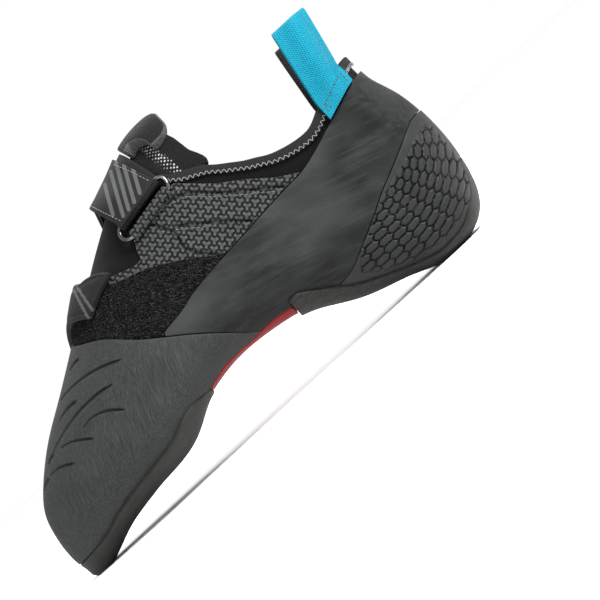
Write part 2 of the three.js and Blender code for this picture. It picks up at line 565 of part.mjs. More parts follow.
// A pull loop stands astride the rim: one leg outside the binding, the other inside the upper
function pullLoop({ side, front, rear, inside, fold, lean }) {
  const outerLeg = OVER_UPPER + BINDING_THICK + LEG_GAP + WEBBING_THICK / 2;
  const innerLeg = -LEG_GAP - WEBBING_THICK / 2;
  const middle = (outerLeg + innerLeg) / 2;
  const baseHalf = (outerLeg - innerLeg) / 2;
  const bulge = (PULL_LOOP_SPREAD + WEBBING_THICK) / 2 - baseHalf;
  const foldTop = fold * HEIGHT_UNIT - WEBBING_THICK / 2;
  const columns = [0, 0.25, 0.5, 0.75, 1].map((share) => {
    const x = lerp(front, rear, share) * LENGTH_UNIT;
    const base = heightAt(rim, x) + PULL_LOOP_FOOT;
    return { x, base, wall: sidePoint(x, base, side, 0), tail: heightAt(randEdge, x) + 2 * GAP };
  });
  const centre = columns[Math.floor(columns.length / 2)];
  const out = sidePoint(centre.x, centre.base, side, 1).sub(centre.wall).setZ(0).normalize();
  const leg = (column, distance, from) => [0, 0.5, 1].map((share) => {
    const z = lerp(from, column.base, share);
    return sidePoint(column.x, z, side, distance);
  });
  const standing = (column, turn) => {
    const foldCentre = foldTop - baseHalf;
    const angle = turn * Math.PI;
    if (turn <= 1) return { z: lerp(column.base, foldCentre, turn), half: baseHalf + bulge * Math.sin(angle) };
    return { z: foldCentre - baseHalf * Math.sin(angle), half: -baseHalf * Math.cos(angle) };
  };
  const place = (column, { z, half }, sign) => {
    const point = column.wall.clone().addScaledVector(out, middle + sign * half);
    point.x += (lean * LENGTH_UNIT * (z - column.base)) / (foldTop - column.base);
    point.z = z;
    return point;
  };
  const rising = [0.25, 0.5, 0.75, 1];
  const folded = [1.25, 1.5, 1.75];
  const profiles = columns.map((column) => [
    ...leg(column, outerLeg, column.tail),
    ...rising.map((turn) => place(column, standing(column, turn), 1)),
    ...folded.map((turn) => place(column, standing(column, turn), 1)),
    ...reversed(rising).map((turn) => place(column, standing(column, turn), -1)),
    ...reversed(leg(column, innerLeg, inside * HEIGHT_UNIT)),
  ]);
  const ordered = side < 0 ? profiles : reversed(profiles);
  const grid = ordered[0].map((_, row) => ordered.map((profile) => profile[row]));
  return sheet(grid, WEBBING_THICK);
}

const group = new THREE.Group();

function add(name, solid, color, roughness = 0.8, metalness = 0) {
  const { vertProperties, triVerts } = solid.getMesh();
  const geometry = new THREE.BufferGeometry();
  geometry.setAttribute("position", new THREE.BufferAttribute(vertProperties, 3));
  geometry.setIndex(new THREE.BufferAttribute(triVerts, 1));
  geometry.computeVertexNormals();
  const mesh = new THREE.Mesh(geometry, new THREE.MeshStandardMaterial({ color, roughness, metalness }));
  mesh.name = name;
  group.add(mesh);
}

add("upper", makeUpper(), "#1b1b1d");
add("tongue", makeTongue(), "#202022");
add("tongue_tab", makeTongueTab(), "#151516");
add("insole", makeInsole(), "#7b7f80");
add("outsole", makeOutsole(), "#3b4040");
add("heel_sole", makeHeelSole(), "#2b2f30");
add("arch_plate", makePlate(), "#a8281e");
add("toe_rubber", makeToeRubber(), "#474d4c");
add("side_rand", makeRand(), "#2c3030");
add("heel_cup", makeHeelCup(), "#26292a");
add("outer_quarter", makeOuterQuarter(), "#6b7072");
add("inner_quarter", makeInnerQuarter(), "#6b7072");
add("loop_patch", makeLoopPatch(), "#17191b");
add("collar_binding", makeBinding(), "#141416");
add("instep_strap", makeInstepStrap(), "#1a1b1d");
add("forefoot_strap", makeForefootStrap(), "#1d1e20");
add("outer_pull_loop", pullLoop(OUTER_LOOP), "#0b8fae");
add("inner_pull_loop", pullLoop(INNER_LOOP), "#1a1b1d");
add("ring", ringTube(RING_WIRE / 2), "#b9bcbe", 0.3, 1);

// The origin is the middle of the floor under the shoe
const box = new THREE.Box3().setFromObject(group);
group.position.set(-(box.min.x + box.max.x) / 2, -(box.min.y + box.max.y) / 2, -box.min.z);

export default group;
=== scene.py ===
"""A left climbing shoe, dressed in its fabrics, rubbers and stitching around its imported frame."""

import math

import bmesh
import bpy
import numpy as np
from mathutils import Matrix, Vector


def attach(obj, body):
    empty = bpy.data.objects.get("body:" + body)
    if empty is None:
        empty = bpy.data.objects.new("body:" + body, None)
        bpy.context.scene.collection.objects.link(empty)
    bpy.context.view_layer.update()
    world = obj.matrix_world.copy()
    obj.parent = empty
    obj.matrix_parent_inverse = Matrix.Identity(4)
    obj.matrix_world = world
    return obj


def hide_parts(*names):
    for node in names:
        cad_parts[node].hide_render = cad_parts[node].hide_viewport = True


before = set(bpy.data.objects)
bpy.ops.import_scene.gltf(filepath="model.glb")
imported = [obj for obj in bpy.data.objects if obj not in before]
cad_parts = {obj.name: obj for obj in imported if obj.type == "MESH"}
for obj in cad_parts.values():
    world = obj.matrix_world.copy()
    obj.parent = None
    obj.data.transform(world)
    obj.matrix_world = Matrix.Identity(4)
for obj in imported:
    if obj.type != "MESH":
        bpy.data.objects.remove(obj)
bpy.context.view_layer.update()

bl_info = {
    "name": "Climbing shoe",
    "version": (1, 0, 0),
    "blender": (4, 5, 0),
    "location": "View3D > Sidebar > Shoe",
    "description": "Dresses the frame of a climbing shoe in its fabrics, rubbers and stitching",
    "category": "Object",
}

# The forms are worked out in millimetres, toe at x = 0, as in the part's own source
MM = 0.001
CENTRE = np.array([124.43029, 0.15694, 0.0])  # the row frame's origin, in those millimetres
FAR = 400.0
SEED = 7

# The last, as sections from the keel to the ridge, with the numbers of the part's own table
COLUMNS = [
    "keelX", "keelZ", "ridgeX", "ridgeZ", "outer", "inner", "outerLevel", "innerLevel", "keelY", "ridgeY",
    "under", "over",
]
ROWS = np.array([
    [4.8, 15.6, 4.8, 15.6, 13.2, 13.2, 0.4, 0.4, 13.2, 13.2, 2.2, 2.1],
    [5.6, 9.2, 5.8, 23.8, 5.7, 19.8, 0.4, 0.42, 12.4, 13.2, 2.5, 2.1],
    [8.4, 5.1, 8.8, 33.8, -0.9, 25.5, 0.37, 0.4, 9.8, 13.2, 2.9, 2.1],
    [16.5, 8.2, 16.5, 43.2, -9.2, 30, 0.34, 0.38, 9, 12.8, 2.6, 2.1],
    [30.5, 13.5, 30.5, 55.2, -20.2, 34.8, 0.3, 0.36, 7.9, 11.9, 2.5, 2.1],
    [50, 17.4, 50, 68, -30, 38.7, 0.27, 0.34, 5.3, 10.6, 2.5, 2.1],
    [71.2, 20.3, 71.2, 82.5, -36.5, 39.5, 0.24, 0.31, 3.5, 8.8, 2.5, 2],
    [92.5, 29, 92.5, 98.5, -39.2, 36.5, 0.24, 0.32, 0.9, 7, 2.4, 2],
    [113.8, 33.4, 113.8, 112, -37.4, 30.6, 0.23, 0.33, -0.9, 4.4, 2.3, 1.95],
    [135, 32.6, 135, 125, -34.1, 26.6, 0.2, 0.31, -1.8, 2.6, 2.3, 1.9],
    [155, 28.2, 154, 131, -31.3, 25.7, 0.18, 0.27, -1.8, 0.9, 2.3, 1.85],
    [176.2, 17.4, 172.5, 136, -28.2, 25.5, 0.18, 0.23, -0.9, 0, 2.3, 1.75],
    [196.2, 10.9, 187.5, 138.2, -26.8, 26, 0.19, 0.21, 0, 0, 2.6, 1.7],
    [215, 4.7, 198.8, 139, -26, 26, 0.2, 0.2, 0, 0, 3, 1.65],
    [230.5, 7.9, 203, 139.5, -24.8, 24.8, 0.22, 0.22, 0, 0, 2.7, 1.65],
    [239.6, 17, 205, 140, -22.9, 22.9, 0.3, 0.3, 0, 0, 2, 1.7],
    [243.4, 32.5, 206, 140.5, -21.6, 21.6, 0.42, 0.42, 0, 0, 1.7, 1.7],
    [244, 50, 207, 141, -20.4, 20.4, 0.5, 0.5, 0, 0, 1.6, 1.75],
    [242, 65.5, 208, 141.5, -18.8, 18.8, 0.56, 0.56, 0, 0, 1.55, 1.8],
    [236.8, 81.2, 209, 142, -17, 17, 0.56, 0.56, 0, 0, 1.6, 1.8],
    [235.8, 97.5, 211, 142.5, -14.5, 14.5, 0.52, 0.52, 0, 0, 1.7, 1.9],
    [235.4, 116, 216, 142.5, -10.5, 10.5, 0.5, 0.5, 0, 0, 1.8, 2],
    [230, 137, 230, 137, 0, 0, 0.5, 0.5, 0, 0, 2, 2],
])
LAST_ROW = len(ROWS) - 1

# Edges of the pieces in side view, toe to heel, as rows of x and z
SOLE_EDGE = [
    (-9, 7), (3, 9), (20, 11), (30, 14), (40, 16.5), (50, 18.2), (60, 19.8), (70, 21.5), (75, 23.5),
    (80, 26), (85, 27.5), (90, 28.3), (97.4, 28),
]
PLATE_EDGE = [
    (97.8, 28.2), (105, 30.2), (110, 31.2), (118, 31.5), (125, 31.3), (131, 31.6), (136, 31.7),
    (142, 31.2), (148, 30),
]
HEEL_SOLE_EDGE = [
    (148.3, 32.6), (153, 33), (158, 30), (163, 26.5), (168, 23), (173, 19.5), (180, 15.5), (190, 11),
    (200, 7), (210, 4.3), (215, 3.9), (220, 4), (226, 5), (232, 8), (238, 13), (243, 20), (246, 28),
    (256, 29),
]
HEEL_CUP_EDGE = [
    (169, 22.6), (171, 23.5), (175, 24), (180, 25.5), (185, 28), (191, 31), (200, 35.5), (210, 41),
    (220, 45.5), (230, 50.2), (238, 54), (243, 55.5), (258, 55.7),
]
TOE_RUBBER_EDGE = [
    (52, 92), (64, 83), (75, 77.5), (80, 74), (90, 65), (98, 59), (110, 50), (120, 41), (128, 33.7),
    (130.9, 31.9),
]
RAND_EDGE = [
    (98, 60), (110, 61.5), (120, 64), (130, 65.5), (140, 66.7), (150, 67.5), (160, 68.5), (170, 69.5),
    (180, 70.3), (190, 71), (200, 73.5), (210, 77), (220, 80.5), (230, 84), (238, 86), (256, 87),
]
PATCH_EDGE = [(84, 106), (92, 93.5), (100, 89), (112, 85), (120, 81), (130, 75), (137, 70), (142, 66.9)]
QUARTER_TOP = [(93, 95.6), (100, 93), (112, 90), (115, 95), (117.8, 99.4)]
QUARTER_REAR = [(142.6, 104.6), (146, 105), (150, 101.5), (160, 92.5), (170, 85.5), (180, 77.5), (190, 71.4)]
INNER_QUARTER = [
    (98.6, 60.6), (80.6, 74.6), (73, 79.6), (86, 88), (100, 94), (117.8, 101), (142.6, 104.6),
    (146, 105), (150, 101.5), (160, 92.5), (170, 85.5), (180, 77.5), (190, 71.4),
]
RIM = [
    (126, 146), (133, 133), (138, 124), (145, 112), (150, 108), (160, 103), (165, 99), (170, 95.5),
    (175, 92), (180, 89.3), (185, 86.5), (190, 84.8), (195, 83.6), (200, 82.9), (205, 83), (210, 84.5),
    (216, 87.6), (224, 90.6), (232, 93.4), (238, 95.4), (256, 96),
]
TONGUE_OUTLINE = [(114, 102), (163, 102), (161, 112), (159.6, 120), (157.5, 126), (154, 146), (100, 146)]
TAB_OUTLINE = [
    (138.4, 131), (143, 132), (147, 130.6), (149.4, 127.5), (150, 124), (157, 124.4), (161, 128),
    (158, 146), (134, 146),
]
STRAP_OUTER = [(116.6, 106.2), (111.3, 120.6), (107.3, 134), (127.5, 145), (133.5, 131.2), (141.4, 111.4)]
STRAP_INNER = [
    (96, 76), (104, 98), (111.3, 120.6), (107.3, 134), (127.5, 145), (133.5, 131.2), (127, 103), (119, 76),
]
UNDER_STRAP_OUTER = [(116.6, 106.2), (112.3, 120.6), (108.3, 134), (131, 145), (138.6, 128), (143, 111.8)]
UNDER_STRAP_INNER = [
    (97, 76), (105, 98), (112.3, 120.6), (108.3, 134), (131, 145), (138.6, 128), (130, 103), (121, 76),
]
FOREFOOT_STRAP = [
    (79.3, -22.8), (99.4, -28.4), (86, -10), (81.6, 8), (74.5, 33), (58.5, 33), (67.5, 9), (72.6, -9),
]
RING_LOWER_BAR = [(117.8, 99.4), (142.6, 104.6)]
RING_UPPER_BAR = [(116.4, 106.2), (141.2, 111.4)]
RING_ENDS = [(113.9, 101.9), (144.4, 109.4)]
OUTER_LOOP = {"side": -1, "front": 214.8, "rear": 233.6, "inside": 84, "fold": 124, "lean": 6}
INNER_LOOP = {"side": 1, "front": 214.4, "rear": 233, "inside": 84, "fold": 118.5, "lean": 4}

# Distances out from the last and thicknesses, as in the part
UPPER_WALL = 2.2
GAP = 0.3
OVER_UPPER = UPPER_WALL + GAP
INSOLE_THICK = 1.6
INSOLE_RISE = 7.0
TONGUE_THICK = 3.0
TAB_THICK = 6.6
PLATE_THICK = 1.6
TOE_RUBBER_THICK = 2.0
RAND_THICK = 1.6
HEEL_CUP_THICK = 2.0
OUTSOLE_THICK = 4.2
OUTSOLE_REAR = 2.4
HEEL_SOLE_THICK = 3.4
SOLE_THINNING = (75, 97)  # x, over which the front sole thins
SOLE_WRAP = (0.25, 0.9)  # how far the form faces down where a sole takes its full thickness
QUARTER_THICK = 1.4
PATCH_THICK = 1.5
BINDING_THICK = 1.3
BINDING_WIDTH = 5.0
BINDING_START = 144
RIM_SIDES = (144.5, 226.0)
ZIGZAG_DROP = 4.3
STRAP_THICK = 1.4
FOREFOOT_STRAP_THICK = 2.4
WEBBING_THICK = 1.3
THREAD_RADIUS = 0.17
FINE_THREAD_RADIUS = 0.15
STITCH_SINK = 0.15
HEM_SIDES = 36
HAIR_LENGTH = 1.5
HAIR_RADIUS = 0.13
HAIR_COMB = (0.75, 0.0, -0.45)
HAIR_RUFFLE = 0.9
TUFT_SWING = 2.4
TUFT_HEIGHT = 0.3
RING_WIRE = 2.1
FOLD_RADIUS = RING_WIRE / 2 + GAP + STRAP_THICK
RING_HEIGHT = OVER_UPPER + GAP + FOLD_RADIUS
STRAP_LIFT = 4.2
STRAP_BASE_LIFT = 0.4
FOREFOOT_STRAP_LIFT = 1.4
STRAP_LIFT_SPAN = (111, 134)  # x, over which the strap comes down
STRAP_INNER_SPAN = (0, 11)  # y, over which it settles on the inner side
STRAP_RISE_SPAN = (100, 118)  # z, over which it rises from its seat
STRAP_OPEN_SPAN = (108, 121)  # z, over which its layers open towards the ring
PAD_SWELL = 0.35
PAD_SEAM_INSET = 2.0
PAD_SEAM_WIDTH = 0.45
LEG_GAP = 0.8
PULL_LOOP_SPREAD = 9.0
PULL_LOOP_FOOT = 1.2

# Soft creases of the worn shoe: side, line in side view, half width and depth. A depth below zero is a
# ridge.
CREASES = [
    (-1, [(150, 62), (172, 50), (196, 44)], 5.0, 0.35),
    (-1, [(146, 52), (166, 41), (184, 34)], 4.5, -0.3),
    (-1, [(205, 72), (222, 62), (240, 60)], 4.5, 0.3),
    (-1, [(88, 72), (104, 78), (122, 74)], 4.0, 0.35),
    (-1, [(90, 108), (100, 100), (108, 96)], 3.0, 0.4),
    (-1, [(60, 40), (80, 46), (104, 44)], 6.0, 0.3),
    (1, [(70, 60), (92, 66), (112, 58)], 5.0, 0.4),
    (1, [(150, 64), (174, 52), (198, 46)], 5.0, 0.35),
]

# Cuts in the toe rubber, as lines in side view on the outer side
CUTS = [
    [(57, 75.5), (60.5, 76.4), (64, 76.7)],
    [(45, 68.5), (50, 69.3), (55, 69.5), (62, 69), (70, 67.2), (78, 64.2)],
    [(39, 62.3), (42, 63.2), (45, 63.8), (51, 64)],
    [(27, 53.5), (30, 55), (33, 56), (40, 58), (48, 59.5), (56, 60), (62, 59.8), (68, 58.8)],
    [(32, 53.1), (36, 52.6), (40, 50.8), (43, 49), (46, 47)],
    [(46, 53.2), (49, 53.9), (52, 54), (56, 53), (60, 51), (64.8, 47.3)],
    [(20, 47.2), (24, 47.5), (28, 46.4), (32, 44.5)],
    [(12, 44), (15, 45.7), (18, 46.8)],
    [(22, 51.5), (24.5, 52.6), (27, 53.2)],
]
CUT_HALF = 0.85
CUT_DEPTH = 0.9
CUT_LINES = (0.28, 0.55, 0.85)  # distances from a cut where the mesh gets a line

# The long six-sided cells of the heel, level in front of their centre and round it behind
CELL_CENTRE = (204.0, 69.0)
CELL_RADIUS = 46.0
CELL_LONG = 4.4
CELL_WIDE = 2.05
CELL_ROW = math.sqrt(3.0)
CELL_SLOPE = math.hypot(CELL_ROW / 2 / CELL_LONG, 0.5 / CELL_WIDE)
CELL_FIELD = [
    (179, 21), (186, 29.5), (193, 33.5), (203, 38), (213, 41), (224, 44), (236, 48.5), (244, 50.5),
    (252, 46), (252, 20), (243, 14), (230, 9.5), (216, 7), (200, 9), (190, 13.5),
]
CELL_BARE = (7.0, 12.0)
CELL_DEPTH = 0.7
CELL_LINE = 0.5
CELLS_START = 176  # x, in front of which the heel cup has no cells
HEEL_SOLE_CELLS = (180, 215)  # the heel sole's cells fade out between these places

# The interlocked three-lobed knobs of the quarters
KNOB_SPACING = 3.85
KNOB_REACH = 1.3
KNOB_TURN = math.radians(-45.5)
KNOB_SOFTNESS = 0.16
KNOB_LOBES = (30, 150, 270)
KNOB_DEPTH = 0.5
KNOB_RISE = 0.1
COLUMN_TURN = math.radians(30)

# Seams of the quarters: a trough, and the cloth that puffs up beside it
QUARTER_SEAMS = [
    [(127, 98), (132, 89), (131.5, 79), (143, 66)],
    [(134.5, 90.5), (142, 85), (150, 79), (163, 67.5)],
    [(139, 100.5), (148, 97.5), (158, 88.5), (168, 80.8), (178, 73.5), (183, 69.5)],
]
SEAM_WIDTH = 0.6
SEAM_DEPTH = 0.7
PUFF_PLACE = 1.9
PUFF_WIDTH = 1.0
PUFF_HEIGHT = 0.3
HEM_SEAM = [(116.5, 97.6), (126, 99), (137, 100.4), (147, 102.3)]
SEAM_INSET = (-1.3, -1.2)
OUTER_QUARTER_STOP = -0.1
INNER_QUARTER_START = 15.6
PATCH_STOP = 15

# Where the tongue's dots, the tab's fold, the prints and the stitches lie
DOTTED_LINE = [(149.5, 124.2), (152.7, 109.4)]
DOTTED_FRONT = [(109.4, 124.2), (152.9, 149.7)]
TAB_FOLD = (140, 161)
PRINT_BARS = [
    [(117.5, 112.5), (123.5, 125.2)], [(120.6, 109.2), (129.2, 127.6)], [(124.2, 109.6), (133.6, 129.0)],
    [(128.2, 110.4), (135.4, 125.4)], [(132.6, 111.6), (137.2, 121.2)],
]
PRINT_HALF = 0.85
PRINT_STOP = 3  # the print ends where the strap turns to the inner side
TAB_STRIPES = [[(82.5, 102), (79.3, 86.5)], [(84.4, 101), (83.0, 87.5)]]
STRAP_SEAMS = [
    [(118.3, 108.2), (113.2, 121.0), (111.4, 126)],
    [(139.0, 113.0), (134.8, 123.6), (132.0, 129.4)],
]
LOOP_BOX = [
    [(217.2, 85.6), (231.6, 91.6)], [(231.6, 91.6), (231.9, 86.2)], [(217.2, 85.6), (220.2, 81.4)],
    [(217.2, 85.6), (216.4, 80.6)],
]

# For each piece cut from the form: how far its edge is rounded, the rows of the last that it lies on and,
# where it doesn't go all round, the turns
PANELS = {
    "upper_sock": (0.7, (0, 21.6)),
    "footbed": (0.5, (1, 16)),
    "tongue_mesh": (0.9, (6, 12), (0.9, 3.1)),
    "tongue_tab_ribbon": (1.2, (7, 12.5), (1.1, 2.9)),
    "front_sole": (0.6, (0, 8.2)),
    "heel_sole_rubber": (0.6, (8.8, 17.5)),
    "arch_plate_red": (0.5, (6.5, 10.5)),
    "toe_rubber_cap": (0.4, (0, 10.2)),
    "side_rand_rubber": (0.3, (5.5, 21)),
    "heel_cup_rubber": (0.35, (9.5, 18.6)),
    "outer_quarter_cloth": (0.6, (6.2, 13.5), (0.8, 2.02)),
    "inner_quarter_cloth": (0.6, (5, 13.5), (2.1, 3.3)),
    "loop_patch_base": (0.6, (4, 10), (0.8, 2.5)),
    "collar_binding_tape": (0.9, (8, 21.7)),
    "instep_strap_top": (0.5, (6, 12), (1.15, 3.1)),
    "instep_strap_under": (0.5, (6, 12), (1.15, 3.1)),
    "forefoot_strap_pad": (0.9, (2.5, 8.5), (1.2, 2.95)),
}
INSOLE_ROWS = slice(3, 15)
FLOOR_REST = 0.4  # how high the inner face of a sole stays over the floor

# How the form is measured
WHOLE_TURN = (0, 4)
SHARP_ANGLE = math.radians(45)
NORMAL_STEP = 0.04
PROBE_STEP = 0.01
TINY = 1e-9
SKIN_SAMPLES = 1500
SKIN_LINES = 9
SIDE_ROWS = (0.5, 21.5)
ROW_STEP = 0.15
TURN_STEP = 0.04
SIDE_TURNS = {-1: (0.1, 2.0, 1.98), 1: (2.02, 3.9, 3.9)}  # start, end and last turn of each side
WAVE_SCALE = 0.314  # the wave texture's scale for ribs of one millimetre
MESH_DOTS = (0.3, 0.3, 0.3)

# The stage, in metres: each lamp's name, place, target, size and power in watts
FLOOR_RADIUS = 3
FLOOR_SIDES = 96
LAMPS = [
    ("key", (0.75, -0.55, 0.85), (0.02, 0, 0.05), 0.45, 34),
    ("fill", (-0.5, -0.9, 0.75), (0, 0, 0.05), 0.8, 9),
    ("back", (0.1, 0.8, 0.9), (0, 0, 0.08), 0.6, 8),
]
LOOKED_AT = (0.02797, -0.012, 0.0302)
SENSOR_WIDTH = 36  # millimetres


def lerp(start, end, share):
    return start + (end - start) * share


def smoothstep(value, low, high):
    share = np.clip((value - low) / (high - low), 0.0, 1.0)
    return share * share * (3.0 - 2.0 * share)


def curved(before, start, end, after, tension, share):
    """A smooth curve's place between start and end, with the knots before and after them."""
    leave, arrive = tension * (end - before), tension * (after - start)
    bend = 2 * (start - end) + leave + arrive
    return ((bend * share + (3 * (end - start) - 2 * leave - arrive)) * share + leave) * share + start


def column(name, at):
    """One column of the table between two rows, as a smooth curve through them."""
    values = ROWS[:, COLUMNS.index(name)]
    row = np.clip(np.floor(at).astype(int), 0, LAST_ROW - 1)
    knots = [values[np.clip(row + shift, 0, LAST_ROW)] for shift in (-1, 0, 1, 2)]
    return curved(*knots, 0.5, at - row)


def last_point(at, turn):
    """Points of the last: turn runs from the keel up the outer side to the ridge at 2, then down again."""
    around = np.mod(turn, 4.0)
    is_outer = around < 2
    from_keel = np.where(is_outer, around, 4 - around)
    is_under = from_keel < 1
    angle = np.where(is_under, from_keel, 2 - from_keel) * np.pi / 2
    side = np.where(is_outer, column("outer", at), column("inner", at))
    widest = np.where(is_outer, column("outerLevel", at), column("innerLevel", at))
    power = 2 / np.where(is_under, column("under", at), column("over", at))
    middle = np.where(is_under, column("keelY", at), column("ridgeY", at))
    reach = np.clip(np.sin(angle), 0, 1) ** power
    fall = np.clip(np.cos(angle), 0, 1) ** power
    level = np.where(is_under, widest * (1 - fall), widest + (1 - widest) * fall)
    return np.stack([
        lerp(column("keelX", at), column("ridgeX", at), level),
        lerp(middle, side, reach),
        lerp(column("keelZ", at), column("ridgeZ", at), level),
    ], -1)


def last_normal(at, turn):
    above, below = np.minimum(at + NORMAL_STEP, LAST_ROW), np.maximum(at - NORMAL_STEP, 0)
    along = last_point(above, turn) - last_point(below, turn)
    around = last_point(at, turn + NORMAL_STEP) - last_point(at, turn - NORMAL_STEP)
    normal = np.cross(along, around)
    length = np.linalg.norm(normal, axis=-1, keepdims=True)
    tip = np.array([-1.0, 0.0, 0.0])
    return np.where(length > TINY, normal / np.maximum(length, TINY), tip)


def line_distance(x, z, line):
    """How far points in side view are from an open line, and the nearest points on it."""
    best = np.full(x.shape, np.inf)
    near_x = np.zeros(x.shape)
    near_z = np.zeros(x.shape)
    for (ax, az), (bx, bz) in zip(line[:-1], line[1:]):
        run_x, run_z = bx - ax, bz - az
        length = run_x * run_x + run_z * run_z
        share = np.clip(((x - ax) * run_x + (z - az) * run_z) / max(length, 1e-12), 0, 1)
        px, pz = ax + share * run_x, az + share * run_z
        away = (x - px) ** 2 + (z - pz) ** 2
        closer = away < best
        best = np.where(closer, away, best)
        near_x = np.where(closer, px, near_x)
        near_z = np.where(closer, pz, near_z)
    return np.sqrt(best), near_x, near_z


def is_inside(x, z, outline):
    inside = np.zeros(x.shape, bool)
    for (ax, az), (bx, bz) in zip(outline, outline[1:] + outline[:1]):
        if az == bz:
            continue
        crosses = (az > z) != (bz > z)
        inside ^= crosses & (x < (bx - ax) * (z - az) / (bz - az) + ax)
    return inside


def creased(point):
    """How far the soft creases move a point of the form out."""
    moved = np.zeros(point.shape[:-1])
    for side, line, width, depth in CREASES:
        away = line_distance(point[..., 0], point[..., 2], line)[0]
        on_side = smoothstep(point[..., 1] * side, 4.0, 14.0)
        moved -= depth * np.exp(-((away / width) ** 2)) * on_side
    return moved


def smooth_line(points, spacing=1.0, closed=False, tension=0.5):
    """A curve through points of any dimension, resampled evenly."""
    knots = np.asarray(points, float)
    count = len(knots)
    pieces = []
    for index in range(count if closed else count - 1):
        near = [index + shift for shift in (-1, 0, 1, 2)]
        near = [at % count if closed else min(max(at, 0), count - 1) for at in near]
        before, start, end, after = knots[near]
        steps = max(2, int(np.linalg.norm(end - start) / spacing) + 1)
        share = np.linspace(0, 1, steps, endpoint=False)[:, None]
        pieces.append(curved(before, start, end, after, tension, share))
    if not closed:
        pieces.append(knots[-1:])
    return np.concatenate(pieces)


def eased(line, spacing=1.0, **how):
    return [tuple(point) for point in smooth_line(line, spacing, **how)]


def moved(line, along, up):
    return [(x + along, z + up) for x, z in line]


def under(line):
    return line + [(line[-1][0], -FAR), (line[0][0], -FAR)]


def between(line, low, high):
    return [(x, z) for x, z in line if low < x < high]


def travelled(points):
    """How far along a line each of its points lies."""
    return np.concatenate([[0], np.cumsum(np.linalg.norm(np.diff(points, axis=0), axis=1))])


def looked_up(along, travel, table):
    """What a table of one row for each point of a line says at places along it."""
    return np.stack([np.interp(along, travel, table[:, axis]) for axis in range(3)], -1)


def even_steps(spacing, along, across, point_at):
    """Places from one end of a range to the other, a spacing apart on the form."""
    places = np.linspace(*along, SKIN_SAMPLES)
    travel = np.zeros(len(places))
    for level in np.linspace(*across, SKIN_LINES):
        line = point_at(places, np.full(places.shape, level))
        travel[1:] += travelled(line)[1:] / SKIN_LINES
    count = max(6, int(travel[-1] / spacing))
    return np.interp(np.linspace(0, travel[-1], count + 1), travel, places)


class Skin:
    """A patch of the form as triangles, with a row, a turn, a length and a girth for each corner."""

    def __init__(self, spacing, at_range, turn_range=WHOLE_TURN):
        is_round = turn_range == WHOLE_TURN
        at = even_steps(spacing, at_range, turn_range, last_point)
        turn = even_steps(spacing, turn_range, at_range, lambda turn, at: last_point(at, turn))
        if is_round:
            turn = turn[:-1]
        at_grid, turn_grid = np.meshgrid(at, turn, indexing="ij")
        points = last_point(at_grid, turn_grid)
        steps = np.linalg.norm(np.diff(points, axis=1), axis=-1)
        girth = np.concatenate([np.zeros((len(at), 1)), np.cumsum(steps, 1)], 1)
        ridge = int(np.argmin(np.abs(turn - 2)))
        girth = girth - girth[:, ridge:ridge + 1]
        index = np.arange(at_grid.size).reshape(at_grid.shape)
        if at_range[0] == 0:
            index[0, :] = 0
        following = np.roll(index, -1, 1) if is_round else index[:, 1:]
        near = index if is_round else index[:, :-1]
        a, b, c, d = near[:-1], near[1:], following[1:], following[:-1]
        rows, cells = a.shape
        is_even = (np.add.outer(np.arange(rows), np.arange(cells)) % 2 == 0)[..., None]
        first = np.where(is_even, np.stack([a, b, c], -1), np.stack([a, b, d], -1))
        second = np.where(is_even, np.stack([a, c, d], -1), np.stack([b, c, d], -1))
        triangles = np.concatenate([first.reshape(-1, 3), second.reshape(-1, 3)])
        self.places = np.stack([at_grid, turn_grid, points[..., 0], girth], -1).reshape(-1, 4)
        self.triangles = self.proper(triangles)

    @staticmethod
    def proper(triangles):
        a, b, c = triangles.T
        return triangles[(a != b) & (b != c) & (a != c)]

    @property
    def at(self):
        return self.places[:, 0]

    @property
    def turn(self):
        return self.places[:, 1]

    def keep(self, corners):
        """Keeps the triangles whose corners are all marked."""
        self.triangles = self.triangles[corners[self.triangles].all(1)]

    def compact(self):
        used, self.triangles = np.unique(self.triangles, return_inverse=True)
        self.triangles = self.triangles.reshape(-1, 3)
        self.places = self.places[used]

    def split(self, measure, level):
        """Splits the triangles where measure has a level, and marks the corners on that line."""
        value = measure(self) - level
        value[np.abs(value) < 0.02] = 0.0
        self.on_line = value == 0
        sign = np.sign(value).astype(int)[self.triangles]
        has_both = (sign.min(1) < 0) & (sign.max(1) > 0)
        whole, cut = self.triangles[~has_both], self.triangles[has_both]
        if not len(cut):
            return
        sign = sign[has_both]
        has_zero = (sign == 0).any(1)
        total = sign.sum(1)
        lead = np.where(has_zero, np.argmax(sign == 0, 1), np.argmax(sign == -total[:, None], 1))
        lead = np.where(has_zero, lead, np.argmax(sign * -total[:, None] > 0, 1))
        order = (lead[:, None] + np.arange(3)) % 3
        cut = np.take_along_axis(cut, order, 1)
        single, double = cut[has_zero], cut[~has_zero]
        edges = np.concatenate([single[:, 1:], double[:, :2], double[:, ::2]])
        keys, inverse = np.unique(np.sort(edges, 1), axis=0, return_inverse=True)
        inverse = inverse.reshape(-1)
        low, high = value[keys[:, 0]], value[keys[:, 1]]
        share = (low / (low - high))[:, None]
        start = len(self.places)
        near, far = self.places[keys[:, 0]], self.places[keys[:, 1]].copy()
        rounds = np.round((near[:, 1] - far[:, 1]) / 4)
        far[:, 1] += rounds * 4
        far[:, 3] = np.where(rounds == 0, far[:, 3], near[:, 3])
        self.places = np.concatenate([self.places, lerp(near, far, share)])
        self.on_line = np.concatenate([self.on_line, np.ones(len(keys), bool)])
        added = start + inverse
        m, p, q = np.split(added, [len(single), len(single) + len(double)])
        parts = [
            whole,
            np.stack([single[:, 0], single[:, 1], m], 1),
            np.stack([single[:, 0], m, single[:, 2]], 1),
            np.stack([double[:, 0], p, q], 1),
            np.stack([p, double[:, 1], double[:, 2]], 1),
            np.stack([p, double[:, 2], q], 1),
        ]
        self.triangles = self.proper(np.concatenate(parts))


